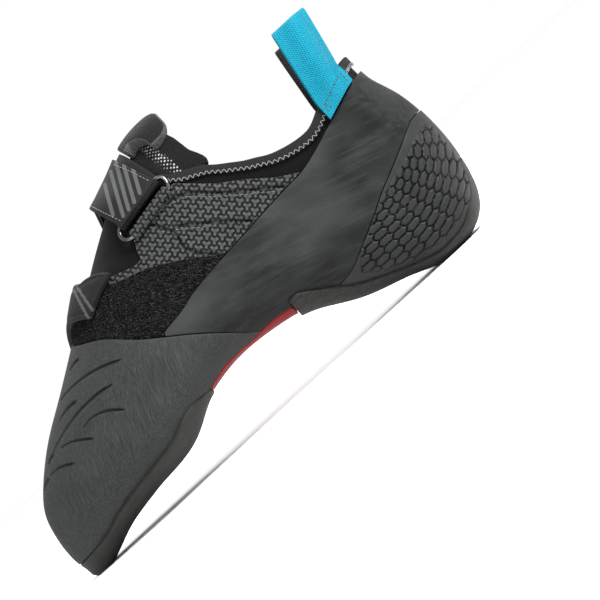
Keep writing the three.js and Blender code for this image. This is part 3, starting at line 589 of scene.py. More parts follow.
def valued(distance, point, normal):
    """A distance that is a number, or a function of place and normal."""
    return distance(point, normal) if callable(distance) else distance


def surface_at(at, turn, distance):
    """Points a distance out from the creased last, and the normals there."""
    point = last_point(at, turn)
    normal = last_normal(at, turn)
    return point + normal * (valued(distance, point, normal) + creased(point))[..., None], normal


class Outline:
    """A closed outline in side view or in plan, as a measure of how far inside it a skin's places lie."""

    def __init__(self, corners, distance, plan=False, low_y=-FAR, high_y=FAR):
        self.corners = corners
        self.distance = distance
        self.axes = (0, 1) if plan else (0, 2)
        self.low_y = low_y
        self.high_y = high_y

    def __call__(self, skin):
        point, normal = surface_at(skin.at, skin.turn, self.distance)
        x, z = point[:, self.axes[0]], point[:, self.axes[1]]
        normal_x, normal_z = normal[:, self.axes[0]], normal[:, self.axes[1]]
        away, near_x, near_z = line_distance(x, z, self.corners + self.corners[:1])
        lean = ((x - near_x) * normal_x + (z - near_z) * normal_z) / np.maximum(away, 1e-6)
        away = away / np.sqrt(np.clip(1 - lean ** 2, 0.03, 1))
        signed = np.where(is_inside(x, z, self.corners), away, -away)
        if self.low_y > -FAR:
            signed = np.minimum(signed, point[:, 1] - self.low_y)
        if self.high_y < FAR:
            signed = np.minimum(signed, self.high_y - point[:, 1])
        return signed


class TwoSided:
    """An outline that passes from one shape on the outer side to another on the inner side."""

    def __init__(self, outer, inner, distance):
        self.outer, self.inner = Outline(outer, distance), Outline(inner, distance)

    def __call__(self, skin):
        place = surface_at(skin.at, skin.turn, self.outer.distance)[0]
        return lerp(self.outer(skin), self.inner(skin), smoothstep(place[:, 1], 1.0, 4.0))


def cut_skin(skin, inside, rounding, levels=()):
    """Cuts a skin at an outline and adds lines along its rounded edge."""
    value = inside(skin)
    skin.keep(value > -3.0)
    skin.compact()
    skin.split(inside, 0.0)
    skin.keep(skin.on_line | (inside(skin) > 0))
    skin.compact()
    for share in (0.15, 0.5, 1.0):
        skin.split(inside, rounding * share)
    for measure, level in levels:
        skin.split(measure, level)
    skin.compact()
    return inside(skin)


def on_row(points):
    """Millimetres of the forms as metres of the row frame."""
    return (np.asarray(points, float) - CENTRE) * MM


def closed_sheet(top, bottom, triangles):
    """A closed solid between two faces with the same triangles."""
    count = len(top)
    edges = np.concatenate([triangles[:, [0, 1]], triangles[:, [1, 2]], triangles[:, [2, 0]]])
    keys = np.sort(edges, 1) @ np.array([count, 1])
    unique, first, counts = np.unique(keys, return_index=True, return_counts=True)
    a, b = edges[first[counts == 1]].T
    walls = np.concatenate([np.stack([a, a + count, b + count], 1), np.stack([a, b + count, b], 1)])
    return np.concatenate([top, bottom]), np.concatenate([triangles, triangles[:, ::-1] + count, walls])


def make_object(name, points, faces, material, attributes=None, uv=None):
    """A mesh object in the row frame from points in millimetres."""
    mesh = bpy.data.meshes.new(name)
    mesh.from_pydata(on_row(points).tolist(), [], faces.tolist() if isinstance(faces, np.ndarray) else faces)
    mesh.validate()
    mesh.polygons.foreach_set("use_smooth", np.ones(len(mesh.polygons), bool))
    mesh.set_sharp_from_angle(angle=SHARP_ANGLE)
    for key, values in (attributes or {}).items():
        layer = mesh.attributes.new(key, "FLOAT", "POINT")
        layer.data.foreach_set("value", np.asarray(values, np.float32))
    if uv is not None:
        corners = np.zeros(len(mesh.loops), np.int32)
        mesh.loops.foreach_get("vertex_index", corners)
        layer = mesh.uv_layers.new(name="lay")
        layer.data.foreach_set("uv", np.asarray(uv, np.float32)[corners].ravel())
    mesh.materials.append(material)
    mesh.update()
    piece = bpy.data.objects.new(name, mesh)
    bpy.context.scene.collection.objects.link(piece)
    return piece


def dress(piece, slot, *nodes):
    """The piece rides on the shoe and stands for its CAD nodes, which it hides. The slot is not used."""
    if not piece.data.polygons:
        raise RuntimeError(f"{piece.name} came out empty")
    if nodes:
        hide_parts(*nodes)
    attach(piece, "root")
    return piece


def above(low, thick):
    """A thickness over a distance, each a number or a function of place and normal."""
    return lambda point, normal: valued(low, point, normal) + valued(thick, point, normal)


def seen(measure, distance):
    """A measure of x, z and y as one of a skin's places, a distance out from the last."""
    def of_skin(skin):
        point = surface_at(skin.at, skin.turn, distance)[0]
        return measure(point[:, 0], point[:, 2], point[:, 1])

    return of_skin


def panel(
    name, spacing, outline, low, thick, material, relief=None, levels=(), has_floor=False, hug=0.0, **limits,
):
    """A piece cut from the form: its inner face lies low out from the last, its outer face thick above it.

    The outline is one list of corners, or a pair of them for the outer and the inner side. The relief adds
    to the thickness. Each of the levels is a measure, and the value of it where the mesh gets a line.
    """
    rounding, *reach = PANELS[name]
    outer = above(low, thick)
    skin = Skin(spacing, *reach)
    inside = TwoSided(*outline, outer) if isinstance(outline, tuple) else Outline(outline, outer, **limits)
    edge = cut_skin(skin, inside, rounding, [(seen(measure, outer), level) for measure, level in levels])
    point = last_point(skin.at, skin.turn)
    normal = last_normal(skin.at, skin.turn)
    base = valued(low, point, normal) + creased(point)
    depth = valued(thick, point, normal)
    near = np.clip(rounding - edge, 0, rounding)
    height = depth - rounding + np.sqrt(np.maximum(rounding ** 2 - near ** 2, 0))
    if relief:
        height = height + relief(point + normal * (base + depth)[:, None], edge)
    inset = hug * (1 - np.sqrt(np.clip(1 - (near / rounding) ** 2, 0, 1)))
    top = point + normal * (base + height)[:, None]
    bottom = point + normal * (base + inset)[:, None]
    if has_floor:
        top[:, 2] = np.maximum(top[:, 2], 0)
        bottom[:, 2] = np.maximum(bottom[:, 2], FLOOR_REST)
    points, faces = closed_sheet(top, bottom, skin.triangles)
    uv = np.tile(skin.places[:, 2:4] * MM, (2, 1))
    return make_object(name, points, faces, material, {"edge": np.tile(edge, 2)}, uv)


def tube(path, radius, sides, closed=False):
    """A round tube along a path, capped where it is open."""
    path = np.asarray(path, float)
    count = len(path)
    if closed:
        tangent = np.roll(path, -1, 0) - np.roll(path, 1, 0)
    else:
        tangent = np.gradient(path, axis=0)
    tangent /= np.linalg.norm(tangent, axis=1, keepdims=True)
    side = np.cross(tangent, np.array([0.0, 1.0, 0.0]))
    side /= np.linalg.norm(side, axis=1, keepdims=True)
    up = np.cross(side, tangent)
    angle = np.arange(sides) / sides * 2 * np.pi
    radii = np.broadcast_to(np.asarray(radius, float), (count,))[:, None, None]
    ring = np.cos(angle)[None, :, None] * side[:, None] + np.sin(angle)[None, :, None] * up[:, None]
    points = (path[:, None] + radii * ring).reshape(-1, 3)
    faces = []
    for i in range(count if closed else count - 1):
        for j in range(sides):
            a = i * sides + j
            b = i * sides + (j + 1) % sides
            c = ((i + 1) % count) * sides + (j + 1) % sides
            d = ((i + 1) % count) * sides + j
            faces.append((a, d, c, b))
    if not closed:
        faces.append(tuple(range(sides)))
        faces.append(tuple(reversed(range((count - 1) * sides, count * sides))))
    return points, faces


def side_points(x, z, side, distance):
    """The places on the outer (-1) or inner (1) side that side view shows at x and z."""
    x, z = np.atleast_1d(np.asarray(x, float)), np.atleast_1d(np.asarray(z, float))
    first, stop, last = SIDE_TURNS[side]
    rows = np.arange(SIDE_ROWS[0] + 0.1, SIDE_ROWS[1], ROW_STEP)
    at_grid, turn_grid = np.meshgrid(rows, np.arange(first, stop, TURN_STEP), indexing="ij")
    known = surface_at(at_grid, turn_grid, distance)[0].reshape(-1, 3)
    away = (known[None, :, 0] - x[:, None]) ** 2 + (known[None, :, 2] - z[:, None]) ** 2
    nearest = np.argmin(away, 1)
    at, turn = at_grid.ravel()[nearest].copy(), turn_grid.ravel()[nearest].copy()
    for _ in range(12):
        here = surface_at(at, turn, distance)[0]
        along = (surface_at(at + PROBE_STEP, turn, distance)[0] - here) / PROBE_STEP
        around = (surface_at(at, turn + PROBE_STEP, distance)[0] - here) / PROBE_STEP
        area = along[:, 0] * around[:, 2] - along[:, 2] * around[:, 0]
        area = np.where(np.abs(area) < 1e-6, 1e-6, area)
        miss_x, miss_z = x - here[:, 0], z - here[:, 2]
        forward = (miss_x * around[:, 2] - miss_z * around[:, 0]) / area
        onward = (along[:, 0] * miss_z - along[:, 2] * miss_x) / area
        at = np.clip(at + np.clip(forward, -0.5, 0.5), *SIDE_ROWS)
        turn = np.clip(turn + np.clip(onward, -0.1, 0.1), first, last)
    return surface_at(at, turn, distance)


def on_side(line, side, distance, spacing=1.0):
    """A line drawn in side view laid on the form, with the normals there."""
    flat = smooth_line(line, spacing)
    return side_points(flat[:, 0], flat[:, 1], side, distance)


# Reliefs and marks, in millimetres of side view

def cell_place(x, z):
    """Places along and across the long six-sided cells, level first and then round the heel."""
    out_x, out_z = x - CELL_CENTRE[0], CELL_CENTRE[1] - z
    is_front = out_x < 0
    along = np.where(is_front, out_x, np.arctan2(out_x, out_z) * CELL_RADIUS) / CELL_LONG
    across = np.where(is_front, out_z, np.hypot(out_x, out_z)) / CELL_WIDE
    return along, across


def cell_border(x, z):
    """How far points are from the borders of the cells."""
    along, across = cell_place(x, z)
    best = np.full(x.shape, np.inf)
    pick_along, pick_across = np.zeros(x.shape), np.zeros(x.shape)
    for shift in (0, 1):
        from_along = along - np.round((along - 1.5 * shift) / 3.0) * 3.0 - 1.5 * shift
        offset = CELL_ROW / 2 * shift
        from_across = across - np.round((across - offset) / CELL_ROW) * CELL_ROW - offset
        away = from_along ** 2 + from_across ** 2
        closer = away < best
        best = np.where(closer, away, best)
        pick_along = np.where(closer, np.abs(from_along), pick_along)
        pick_across = np.where(closer, np.abs(from_across), pick_across)
    slant = (CELL_ROW / 2 - pick_along * CELL_ROW / 2 - pick_across / 2) / CELL_SLOPE
    return np.minimum((CELL_ROW / 2 - pick_across) * CELL_WIDE, slant)


def cell_field(x, z, y):
    """Where the cells are, from 0 to 1."""
    away = line_distance(x, z, CELL_FIELD + CELL_FIELD[:1])[0]
    within = np.where(is_inside(x, z, CELL_FIELD), smoothstep(away, 0.0, 1.2), 0.0)
    return within * smoothstep(np.abs(y), CELL_BARE[0], CELL_BARE[1])


def cell_depth(x, z, y):
    return cell_field(x, z, y) * (1 - smoothstep(cell_border(x, z), 0.08, CELL_LINE))


def cut_distance(x, z, lines):
    """How far points are from the nearest of several lines."""
    best = np.full(x.shape, np.inf)
    for line in lines:
        best = np.minimum(best, line_distance(x, z, eased(line, 2.0))[0])
    return best


def side_of_line(x, z, line):
    """Distance from a line, below zero on one side of it."""
    away, near_x, near_z = line_distance(x, z, line)
    run = np.gradient(np.array(line), axis=0)
    nearest = np.argmin((np.array(line)[:, 0][None] - near_x[:, None]) ** 2, 1)
    cross = (x - near_x) * run[nearest, 1] - (z - near_z) * run[nearest, 0]
    return np.where(away < 2.0, np.sign(cross) * away, away)


def cut_depth(x, z):
    """How deep the tapered cuts are, from 0 to 1."""
    depth = np.zeros(x.shape)
    for line in CUTS:
        away, near_x, _ = line_distance(x, z, eased(line, 2.0))
        share = (near_x - line[0][0]) / (line[-1][0] - line[0][0])
        half = CUT_HALF * lerp(0.5, 1.0, smoothstep(share, 0.0, 0.8))
        half = half * lerp(0.4, 1.0, smoothstep(share, 1.0, 0.9))
        depth = np.maximum(depth, (1 - smoothstep(away / half, 0.3, 1.0)) * lerp(0.55, 1.0, share))
    return depth


def knob_field(x, z):
    """How far points are from the border between the interlocked knobs, and from a lobe's middle."""
    u = x * math.cos(KNOB_TURN) + z * math.sin(KNOB_TURN)
    v = z * math.cos(KNOB_TURN) - x * math.sin(KNOB_TURN)
    step = KNOB_SPACING * math.cos(COLUMN_TURN)
    near_column = np.round(u / step)
    near_row = np.round(v / KNOB_SPACING + near_column / 2)
    first, second, lobe = (np.full(x.shape, np.inf) for _ in range(3))
    for side in (-1, 0, 1):
        for level in (-1, 0, 1):
            mid_u = (near_column + side) * step
            mid_v = (near_row + level - (near_column + side) / 2) * KNOB_SPACING
            pull = np.exp(-np.hypot(u - mid_u, v - mid_v) / KNOB_SOFTNESS)
            for angle in KNOB_LOBES:
                lobe_u = mid_u + KNOB_REACH * math.cos(math.radians(angle))
                lobe_v = mid_v + KNOB_REACH * math.sin(math.radians(angle))
                away = np.hypot(u - lobe_u, v - lobe_v)
                lobe = np.minimum(lobe, away)
                pull = pull + np.exp(-away / KNOB_SOFTNESS)
            reach = -KNOB_SOFTNESS * np.log(pull + 1e-30)
            second = np.minimum(second, np.maximum(first, reach))
            first = np.minimum(first, reach)
    return (second - first) / 2, lobe


def knob_groove(x, z):
    return 1 - smoothstep(knob_field(x, z)[0], 0.08, 0.5)


def knob_tip(x, z):
    return np.exp(-((knob_field(x, z)[1] / 0.5) ** 2))


def seam_profile(x, z):
    """The troughs of the seams, which also carry painted shade, and the puffed cloth beside them."""
    trough, puff = np.zeros(x.shape), np.zeros(x.shape)
    for line in QUARTER_SEAMS:
        away = line_distance(x, z, eased(line, 2.0))[0]
        trough = np.maximum(trough, np.exp(-((away / SEAM_WIDTH) ** 2)))
        puff = np.maximum(puff, np.exp(-(((away - PUFF_PLACE) / PUFF_WIDTH) ** 2)))
    return trough, puff


# Finishes

def shade(colour, factor):
    return tuple(min(1.0, channel * factor) for channel in colour)


class Finish:
    """One procedural material, whose colour is built up in layers."""

    def __init__(self, name, colour, roughness, metallic=0.0, sheen=0.0, specular=0.5):
        self.material = bpy.data.materials.new(name)
        self.material.use_nodes = True
        self.material.diffuse_color = (*colour, 1)
        self.nodes = self.material.node_tree.nodes
        self.links = self.material.node_tree.links
        self.shader = self.nodes["Principled BSDF"]
        self.tint = tuple(colour)
        self.layers = None
        self.height = None
        self.fill(self.shader, {
            "Base Color": (*colour, 1), "Roughness": roughness, "Metallic": metallic, "Sheen Weight": sheen,
            "Specular IOR Level": specular,
        })

    def fill(self, node, values):
        """Links what comes from a node to an input and sets what is constant."""
        for key, value in values.items():
            if isinstance(value, bpy.types.NodeSocket):
                self.links.new(value, node.inputs[key])
            else:
                node.inputs[key].default_value = value

    def add(self, kind, values, output=0, **settings):
        """A new node with its settings and inputs, as one of its outputs."""
        node = self.nodes.new("ShaderNode" + kind)
        for name, value in settings.items():
            setattr(node, name, value)
        self.fill(node, values)
        return node.outputs[output]

    def place(self, stretch=(1, 1, 1), turn=(0, 0, 0), source="Object"):
        """Coordinates in millimetres, turned and then scaled."""
        lay = self.add("TexCoord", {}, source)
        turned = self.add("Mapping", {"Vector": lay, "Rotation": [math.radians(angle) for angle in turn]})
        return self.add("Mapping", {"Vector": turned, "Scale": [factor / MM for factor in stretch]})

    def noise(self, scale, detail, roughness=0.55, stretch=(1, 1, 1), tilt=0):
        """Soft noise, stretched along axes that are tilted in side view."""
        values = {"Scale": scale, "Detail": detail, "Roughness": roughness}
        return self.add("TexNoise", {"Vector": self.place(stretch, (0, tilt, 0)), **values}, "Fac")

    def dots(self, scale, randomness, turn=0):
        values = {"Scale": scale, "Randomness": randomness}
        place = self.place(turn=(0, 0, turn), source="UV")
        return self.add("TexVoronoi", {"Vector": place, **values}, "Distance")

    def ribs(self, width, direction="X", distortion=0.0, turn=(0, 0, 0), source="UV"):
        """Ribs of a width in millimetres."""
        values = {"Scale": WAVE_SCALE / width, "Distortion": distortion}
        place = self.place(turn=turn, source=source)
        return self.add("TexWave", {"Vector": place, **values}, "Fac", bands_direction=direction)

    def spread(self, value, low, high, start=0.0, end=1.0):
        limits = {"From Min": low, "From Max": high, "To Min": start, "To Max": end}
        return self.add("MapRange", {"Value": value, **limits}, "Result")

    def reckon(self, operation, *terms):
        return self.add("Math", dict(enumerate(terms)), operation=operation)

    def times(self, first, second):
        return self.reckon("MULTIPLY", first, second)

    def attribute(self, name):
        return self.add("Attribute", {}, "Fac", attribute_name=name)

    def tone(self, shown):
        """A colour, or a shade of the finish's own colour where it is given as a factor."""
        colour = shown if isinstance(shown, tuple) else shade(self.tint, shown)
        return (*colour, 1)

    def layer(self, share, shown, ground=None):
        """Lays a shade over the layers so far, or over a ground, by a share."""
        below = self.layers if ground is None else self.tone(ground)
        self.layers = self.add("Mix", {0: share, 6: below, 7: self.tone(shown)}, 2, data_type="RGBA")
        self.fill(self.shader, {"Base Color": self.layers})

    def roughness(self, value):
        self.fill(self.shader, {"Roughness": value})

    def bump(self, value, depth):
        """Relief of a depth in millimetres, over what is there already."""
        below = {"Normal": self.height} if self.height else {}
        self.height = self.add("Bump", {"Distance": depth * MM, "Height": value, **below}, "Normal")
        self.fill(self.shader, {"Normal": self.height})

    def cells(self):
        """How far a place is from the cells' borders, in millimetres, and whether it is on their lit side,
        where the painted highlight goes.
        """
        half_row = CELL_ROW / 2
        near_along = self.reckon("PINGPONG", self.attribute("cell_along"), 1.5)
        near_across = self.reckon("PINGPONG", self.attribute("cell_across"), half_row)
        weight = self.reckon("ADD", self.times(near_along, 3.0), self.times(near_across, CELL_ROW))
        shifted = self.reckon("GREATER_THAN", weight, 3.0)
        from_along = self.reckon("SUBTRACT", self.times(shifted, 1.5), near_along)
        from_across = self.reckon("SUBTRACT", self.times(shifted, half_row), near_across)
        from_along, from_across = (self.reckon("ABSOLUTE", away) for away in (from_along, from_across))
        long_side = self.spread(from_across, 0.0, half_row, half_row * CELL_WIDE, 0.0)
        lean = self.reckon("ADD", self.times(from_along, half_row), self.times(from_across, 0.5))
        slant = self.spread(lean, 0.0, half_row, half_row / CELL_SLOPE, 0.0)
        swing = self.reckon("SINE", self.times(self.attribute("cell_across"), 2 * math.pi / CELL_ROW))
        flipped = self.times(swing, self.spread(shifted, 0.0, 1.0, -1.0, 1.0))
        return self.reckon("MINIMUM", long_side, slant), self.reckon("GREATER_THAN", flipped, 0.0)


def toe_rubber_finish(colour):
    """Buffed by hand: fine upright scratches over a cloudy grey, painted shade in the cuts and a painted
    highlight along the rim.
    """
    finish = Finish("buffed toe rubber", colour, 0.8, specular=0.22)
    clouds = finish.noise(0.05, 4.0, 0.6)
    scratches = finish.noise(1.0, 3.0, 0.6, (2.4, 2.4, 0.07), -19)
    crossing = finish.noise(1.0, 2.0, 0.6, (2.0, 2.0, 0.1), -38)
    grit = finish.noise(1.6, 4.0, 0.75)
    finish.layer(finish.spread(clouds, 0.3, 0.7), 1.2, 0.78)
    finish.layer(finish.spread(scratches, 0.45, 0.72, 0.0, 0.9), 2.2)
    finish.layer(finish.spread(crossing, 0.52, 0.75, 0.0, 0.8), 0.3)
    finish.layer(finish.spread(grit, 0.5, 0.78, 0.0, 0.7), 2.0)
    # Darker in the cuts: painted shade
    finish.layer(finish.attribute("groove"), 0.08)
    # Paler along the rounded edge: a painted highlight
    finish.layer(finish.spread(finish.attribute("edge"), 0.1, 0.9, 0.4, 0.0), 1.5)
    finish.roughness(finish.spread(scratches, 0.3, 0.8, 0.9, 0.68))
    finish.bump(scratches, 0.22)
    finish.bump(crossing, 0.1)
    finish.bump(grit, 0.08)
    return finish.material


def rand_finish(colour):
    """Smooth pressed rubber with a dull shine and faint slanting streaks."""
    finish = Finish("smooth rand rubber", colour, 0.6, specular=0.12)
    clouds = finish.noise(0.035, 3.0, 0.5, (0.6, 0.6, 1.0), -17)
    streaks = finish.noise(1.0, 4.0, 0.65, (0.035, 0.45, 0.45), -17)
    grain = finish.noise(2.4, 3.0, 0.6)
    finish.layer(finish.spread(clouds, 0.38, 0.64), 2.3, 0.3)
    finish.layer(finish.spread(streaks, 0.48, 0.72, 0.0, 0.5), 2.6)
    finish.layer(finish.spread(grain, 0.6, 0.8, 0.0, 0.4), 1.8)
    finish.roughness(finish.spread(streaks, 0.3, 0.75, 0.5, 0.68))
    finish.bump(grain, 0.05)
    finish.bump(streaks, 0.1)
    return finish.material


def cup_finish(colour):
    """Moulded rubber in raised cells, with a painted highlight on their lit edges and along the rim, and
    painted shade in their lines.
    """
    finish = Finish("moulded heel rubber", colour, 0.55, specular=0.2)
    clouds = finish.noise(0.09, 4.0, 0.6)
    grain = finish.noise(3.2, 3.0, 0.65)
    dust = finish.noise(0.6, 4.0, 0.7, (0.9, 0.9, 0.25))
    combing = finish.noise(1.0, 3.0, 0.6, (0.12, 1.6, 1.6), 12)
    border, lit_side = finish.cells()
    field = finish.attribute("cells")
    # Paler along the cells' lit edges: a painted highlight
    painted_highlight = finish.times(finish.spread(border, 0.35, 0.85, 0.75, 0.0), lit_side)
    painted_highlight = finish.times(painted_highlight, finish.spread(clouds, 0.4, 0.6, 0.35, 1.0))
    finish.layer(finish.spread(clouds, 0.3, 0.7), 1.35, 0.75)
    finish.layer(finish.spread(dust, 0.52, 0.8, 0.0, 0.45), 2.2)
    finish.layer(finish.spread(combing, 0.52, 0.75, 0.0, 0.35), 2.4)
    finish.layer(finish.times(painted_highlight, field), 3.6)
    # Darker in the lines between the cells: painted shade in their grooves
    finish.layer(finish.times(finish.spread(border, 0.12, 0.4, 1.0, 0.0), field), 0.06)
    # Paler along the rounded edge: a painted highlight
    finish.layer(finish.spread(finish.attribute("edge"), 0.1, 1.0, 0.45, 0.0), 2.0)
    finish.roughness(finish.spread(dust, 0.3, 0.8, 0.48, 0.66))
    finish.bump(grain, 0.06)
    finish.bump(finish.times(finish.spread(border, 0.1, 0.9), field), 0.5)
    return finish.material


def sole_finish(colour, name, is_celled=False):
    """Sticky rubber that has picked up a little pale dust."""
    finish = Finish(name, colour, 0.62, specular=0.2)
    clouds = finish.noise(0.12, 5.0, 0.65)
    grain = finish.noise(2.2, 4.0, 0.7)
    scuffs = finish.noise(1.0, 4.0, 0.7, (0.35, 0.5, 1.6), -12)
    dust = tuple(channel * factor for channel, factor in zip(colour, (2.1, 1.8, 1.5)))
    finish.layer(finish.spread(clouds, 0.3, 0.72), 1.25, 0.7)
    finish.layer(finish.spread(scuffs, 0.5, 0.78, 0.0, 0.6), dust)
    if is_celled:
        border = finish.cells()[0]
        # Darker along the cells' lines: painted shade in the moulded grooves
        line = finish.times(finish.spread(border, 0.1, 0.35, 0.8, 0.0), finish.attribute("cells"))
        finish.layer(line, 0.2)
        finish.bump(finish.spread(line, 0.0, 1.0, 1.0, 0.0), 0.2)
    finish.bump(grain, 0.07)
    finish.bump(scuffs, 0.1)
    return finish.material


def plate_finish(colour):
    finish = Finish("red moulded plate", colour, 0.55, specular=0.1)
    finish.layer(finish.spread(finish.noise(0.2, 3.0, 0.5), 0.3, 0.7), 1.1, 0.8)
    finish.bump(finish.noise(3.0, 2.0), 0.03)
    return finish.material


def quarter_finish(colour):
    """Rubbery printed fabric: painted highlights on the lobe tips, painted shade in the grooves and seams.
    """
    finish = Finish("knobbed quarter fabric", colour, 0.6, specular=0.17)
    groove = finish.attribute("groove")
    finish.layer(finish.spread(finish.noise(0.08, 3.0, 0.5), 0.3, 0.7), 1.15, 0.8)
    # Paler at the knobs' lobe tips: a painted highlight
    finish.layer(finish.times(finish.attribute("tip"), 0.85), 2.6)
    finish.layer(finish.spread(finish.noise(1.1, 3.0, 0.8), 0.5, 0.75, 0.0, 0.6), 2.3)
    # Darker in the grooves between the knobs and in the seams' troughs: painted shade
    finish.layer(groove, 0.06)
    finish.bump(finish.spread(groove, 0.1, 0.9, 1.0, 0.0), 0.35)
    finish.bump(finish.noise(2.8, 4.0, 0.7), 0.14)
    return finish.material


def knit_finish(colour, name, rib, turn=0.0):
    """Close ribs along the foot's girth, with a fine yarn across them."""
    finish = Finish(name, colour, 0.88, sheen=0.02, specular=0.06)
    rib_height = finish.ribs(rib, "X", 0.0, (0, 0, turn))
    yarn = finish.ribs(rib * 0.6, "Y", 1.2, (0, 0, turn))
    cloth = finish.times(rib_height, finish.spread(yarn, 0.0, 1.0, 0.6, 1.0))
    finish.layer(cloth, 1.5, 0.55)
    finish.bump(cloth, 0.16)
    finish.bump(finish.noise(3.5, 3.0, 0.7), 0.05)
    return finish.material


def webbing_finish(colour, name, rim=0.0):
    """Woven tape: slanting picks in narrow rows along its length, and a pale selvedge on a rim."""
    finish = Finish(name, colour, 0.65, specular=0.1)
    rows = finish.ribs(1.1)
    picks = finish.ribs(0.75, "Y", 0.3, (0, 0, 35))
    fuzz = finish.noise(1.6, 4.0, 0.7)
    weave = finish.times(finish.spread(rows, 0, 1, 0.45, 1.0), finish.spread(picks, 0, 1, 0.45, 1.0))
    finish.layer(weave, 1.35, 0.35)
    finish.layer(finish.spread(fuzz, 0.5, 0.8, 0.0, 0.5), 1.8)
    if rim:
        finish.layer(finish.spread(finish.attribute("edge"), 0.25, 0.8, rim, 0.0), 20.0)
    finish.bump(weave, 0.3)
    finish.bump(fuzz, 0.06)
    return finish.material


def strap_finish(colour, ink):
    """Smooth microfibre with a grey print."""
    finish = Finish("printed strap cloth", colour, 0.72, specular=0.12)
    grain = finish.noise(2.6, 4.0, 0.7)
    finish.layer(finish.spread(finish.noise(0.12, 3.0, 0.5), 0.3, 0.7), 1.2, 0.85)
    finish.layer(finish.spread(grain, 0.45, 0.75, 0.0, 0.5), 1.8)
    finish.layer(finish.spread(finish.attribute("print"), 0.35, 0.65), ink)
    finish.bump(grain, 0.08)
    return finish.material


def pile_finish(colour, name, light):
    """Combed fibres, most of them black and some of them pale."""
    finish = Finish(name, colour, 0.8, specular=0.04)
    strands = finish.noise(1.0, 3.0, 0.7, (0.45, 1.5, 1.9), -42.5)
    tufts = finish.noise(1.5, 3.0, 0.8)
    mixed = finish.times(finish.spread(strands, 0.44, 0.6), finish.spread(tufts, 0.42, 0.58))
    finish.layer(mixed, light, 0.12)
    finish.bump(tufts, 0.5)
    finish.bump(strands, 0.5)
    return finish.material


def mesh_finish(colour, dot_colour):
    """Black spacer mesh with pale dots in offset rows."""
    finish = Finish("dotted tongue mesh", colour, 0.85, sheen=0.02, specular=0.08)
    grid = finish.dots(1.3, 0.3)
    printed = finish.spread(finish.dots(0.62, 0.25, 45), 0.2, 0.34, 1.0, 0.0)
    finish.layer(finish.spread(grid, 0.1, 0.6), 0.4, 1.5)
    finish.layer(finish.times(printed, finish.attribute("print")), dot_colour)
    finish.bump(finish.spread(grid, 0.1, 0.6, 1.0, 0.0), 0.25)
    return finish.material


def suede_finish(colour):
    finish = Finish("suede footbed", colour, 0.93, sheen=0.3, specular=0.2)
    nap = finish.noise(1.0, 5.0, 0.7, (0.7, 0.25, 0.7))
    finish.layer(finish.spread(nap, 0.3, 0.7), 1.2, 0.75)
    finish.bump(nap, 0.15)
    return finish.material


def steel_finish(colour):
    finish = Finish("steel wire", colour, 0.2, metallic=1.0)
    marks = finish.noise(1.0, 3.0, 0.6, (0.4, 2.0, 2.0))
    finish.roughness(finish.spread(marks, 0.3, 0.7, 0.14, 0.32))
    finish.bump(marks, 0.02)
    return finish.material


def thread_finish(colour, name):
    finish = Finish(name, colour, 0.6, sheen=0.3)
    twist = finish.ribs(0.3, "X", 0.5, (0, 40, 0), "Object")
    finish.layer(twist, 1.15, 0.7)
    finish.bump(twist, 0.05)
    return finish.material


# Geometry Nodes

def new_tree(name, inputs):
    """A geometry tree with named inputs: the tree, its two ends and the inputs' identifiers."""
    tree = bpy.data.node_groups.new(name, "GeometryNodeTree")
    tree.interface.new_socket("Geometry", in_out="OUTPUT", socket_type="NodeSocketGeometry")
    tree.interface.new_socket("Geometry", in_out="INPUT", socket_type="NodeSocketGeometry")
    identifiers = {}
    for key, kind in inputs.items():
        socket = tree.interface.new_socket(key, in_out="INPUT", socket_type="NodeSocket" + kind)
        identifiers[key] = socket.identifier
    return tree, tree.nodes.new("NodeGroupInput"), tree.nodes.new("NodeGroupOutput"), identifiers


def wire(tree, wires):
    """Links nodes: each wire is a node and its output, and a node and its input."""
    for start, output, end, entry in wires:
        tree.links.new(start.outputs[output], end.inputs[entry])


def thread_tree():
    """Turns loose edges into round thread."""
    tree, entry, leave, identifiers = new_tree("thread", {"Radius": "Float", "Thread": "Material"})
    curve = tree.nodes.new("GeometryNodeMeshToCurve")
    ring = tree.nodes.new("GeometryNodeCurvePrimitiveCircle")
    ring.inputs["Resolution"].default_value = 5
    thread = tree.nodes.new("GeometryNodeCurveToMesh")
    thread.inputs["Fill Caps"].default_value = True
    real = tree.nodes.new("GeometryNodeRealizeInstances")
    finish = tree.nodes.new("GeometryNodeSetMaterial")
    wire(tree, [
        (entry, "Geometry", curve, "Mesh"), (entry, "Radius", ring, "Radius"),
        (curve, "Curve", thread, "Curve"), (ring, "Curve", thread, "Profile Curve"),
        (thread, "Mesh", real, "Geometry"), (real, "Geometry", finish, "Geometry"),
        (entry, "Thread", finish, "Material"), (finish, "Geometry", leave, "Geometry"),
    ])
    return tree, identifiers


